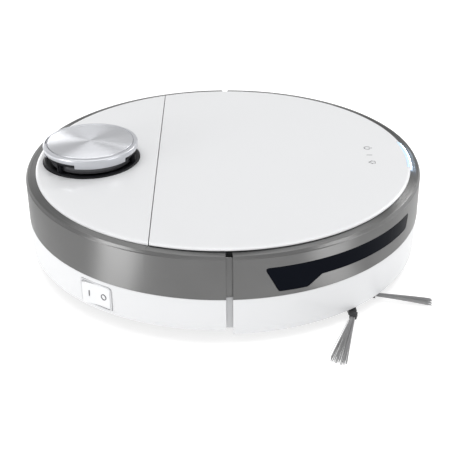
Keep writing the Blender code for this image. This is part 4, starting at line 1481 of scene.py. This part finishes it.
@dataclass
class Studio:
    """A pale floor, soft lights and the camera."""

    azimuth: float = -1.5615
    elevation: float = 28.5924
    spot: tuple[float, float, float] = (-0.00316, -0.82815, 0.46082)
    lens: float = 79.1
    shift: Point = (-0.033, -0.0043)
    floor_reach: float = 20.0
    sky: float = 0.6

    def build(self) -> None:
        """Builds the studio."""
        scene = bpy.context.scene
        scene.view_settings.view_transform = "Standard"
        self.build_floor()
        self.build_world()
        self.add_light("overhead", (0.0, 0.1, 1.7), 1.8, 16.0, (0.0, 0.0, 0.0))
        self.add_light("left_side", (-1.5, -1.0, 0.2), 0.7, 18.0, (0.0, 0.0, 0.05))
        self.add_light("right_side", (1.5, -1.0, 0.2), 0.7, 11.0, (0.0, 0.0, 0.05))
        self.add_light("back_left", (-0.8, 1.55, 0.3), 0.6, 3.0, (0.0, 0.0, 0.1))
        self.add_light("back_right", (1.2, 1.3, 1.2), 0.5, 9.0, (0.0, 0.0, 0.1))
        self.build_camera()

    def build_floor(self) -> None:
        """A wide pale floor at the object's foot."""
        mesh = bpy.data.meshes.new("floor")
        work = bmesh.new()
        bmesh.ops.create_grid(work, x_segments=1, y_segments=1, size=self.floor_reach)
        work.to_mesh(mesh)
        work.free()
        floor = link_mesh("floor", mesh)
        pale = Finish(
            "pale floor", (0.5, 0.5, 0.5), 0.9, drift=0.0, grain_depth=0.0, specular=0.1, emission=1.45
        )
        floor.data.materials.append(pale.material())

    def build_world(self) -> None:
        """Even white light from all round."""
        world = bpy.data.worlds.new("studio")
        world.use_nodes = True
        background = world.node_tree.nodes["Background"]
        background.inputs["Color"].default_value = (1.0, 1.0, 1.0, 1.0)
        background.inputs["Strength"].default_value = self.sky
        bpy.context.scene.world = world

    def add_light(
        self, name: str, at: Sequence[float], size: float, power: float, aim: Sequence[float]
    ) -> None:
        """Adds a square soft light that faces a point.

        Args:
            name: The light's name.
            at: Its place in metres.
            size: Its side in metres.
            power: Its power in watts.
            aim: The point that it faces.
        """
        light = bpy.data.lights.new(name, "AREA")
        light.size = size
        light.energy = power
        holder = bpy.data.objects.new(name, light)
        bpy.context.scene.collection.objects.link(holder)
        holder.location = at
        holder.rotation_mode = "QUATERNION"
        holder.rotation_quaternion = (Vector(aim) - Vector(at)).to_track_quat("-Z", "Y")

    def build_camera(self) -> None:
        """The camera, on the side of the robot's right wheel."""
        data = bpy.data.cameras.new("camera")
        data.sensor_width = 36.0
        data.lens = self.lens
        data.shift_x, data.shift_y = self.shift
        camera = bpy.data.objects.new("camera", data)
        bpy.context.scene.collection.objects.link(camera)
        turn, tilt = math.radians(self.azimuth), math.radians(self.elevation)
        back = Vector((math.sin(turn) * math.cos(tilt), -math.cos(turn) * math.cos(tilt), math.sin(tilt)))
        camera.location = Vector(self.spot) + BODY.home
        camera.rotation_mode = "QUATERNION"
        camera.rotation_quaternion = (-back).to_track_quat("-Z", "Y")
        bpy.context.scene.camera = camera


def clear_startup() -> None:
    """Removes what Blender starts with."""
    for name in ("Cube", "Light", "Camera"):
        if name in bpy.data.objects:
            bpy.data.objects.remove(bpy.data.objects[name])


def main() -> None:
    """Builds the robot's looks and the studio."""
    logging.basicConfig(level=logging.INFO, format="%(name)s: %(message)s")
    clear_startup()
    Studio().build()
    for node, finish in KEPT.items():
        keep(node, finish)
    Shells().build_bumper()
    Shells().build_rear()
    for side in Side:
        BumperSpring(side).build()
    Top().build()
    Turret().build()
    SideBrush().build()
    Underside().build()


if __name__ == "__main__":
    main()
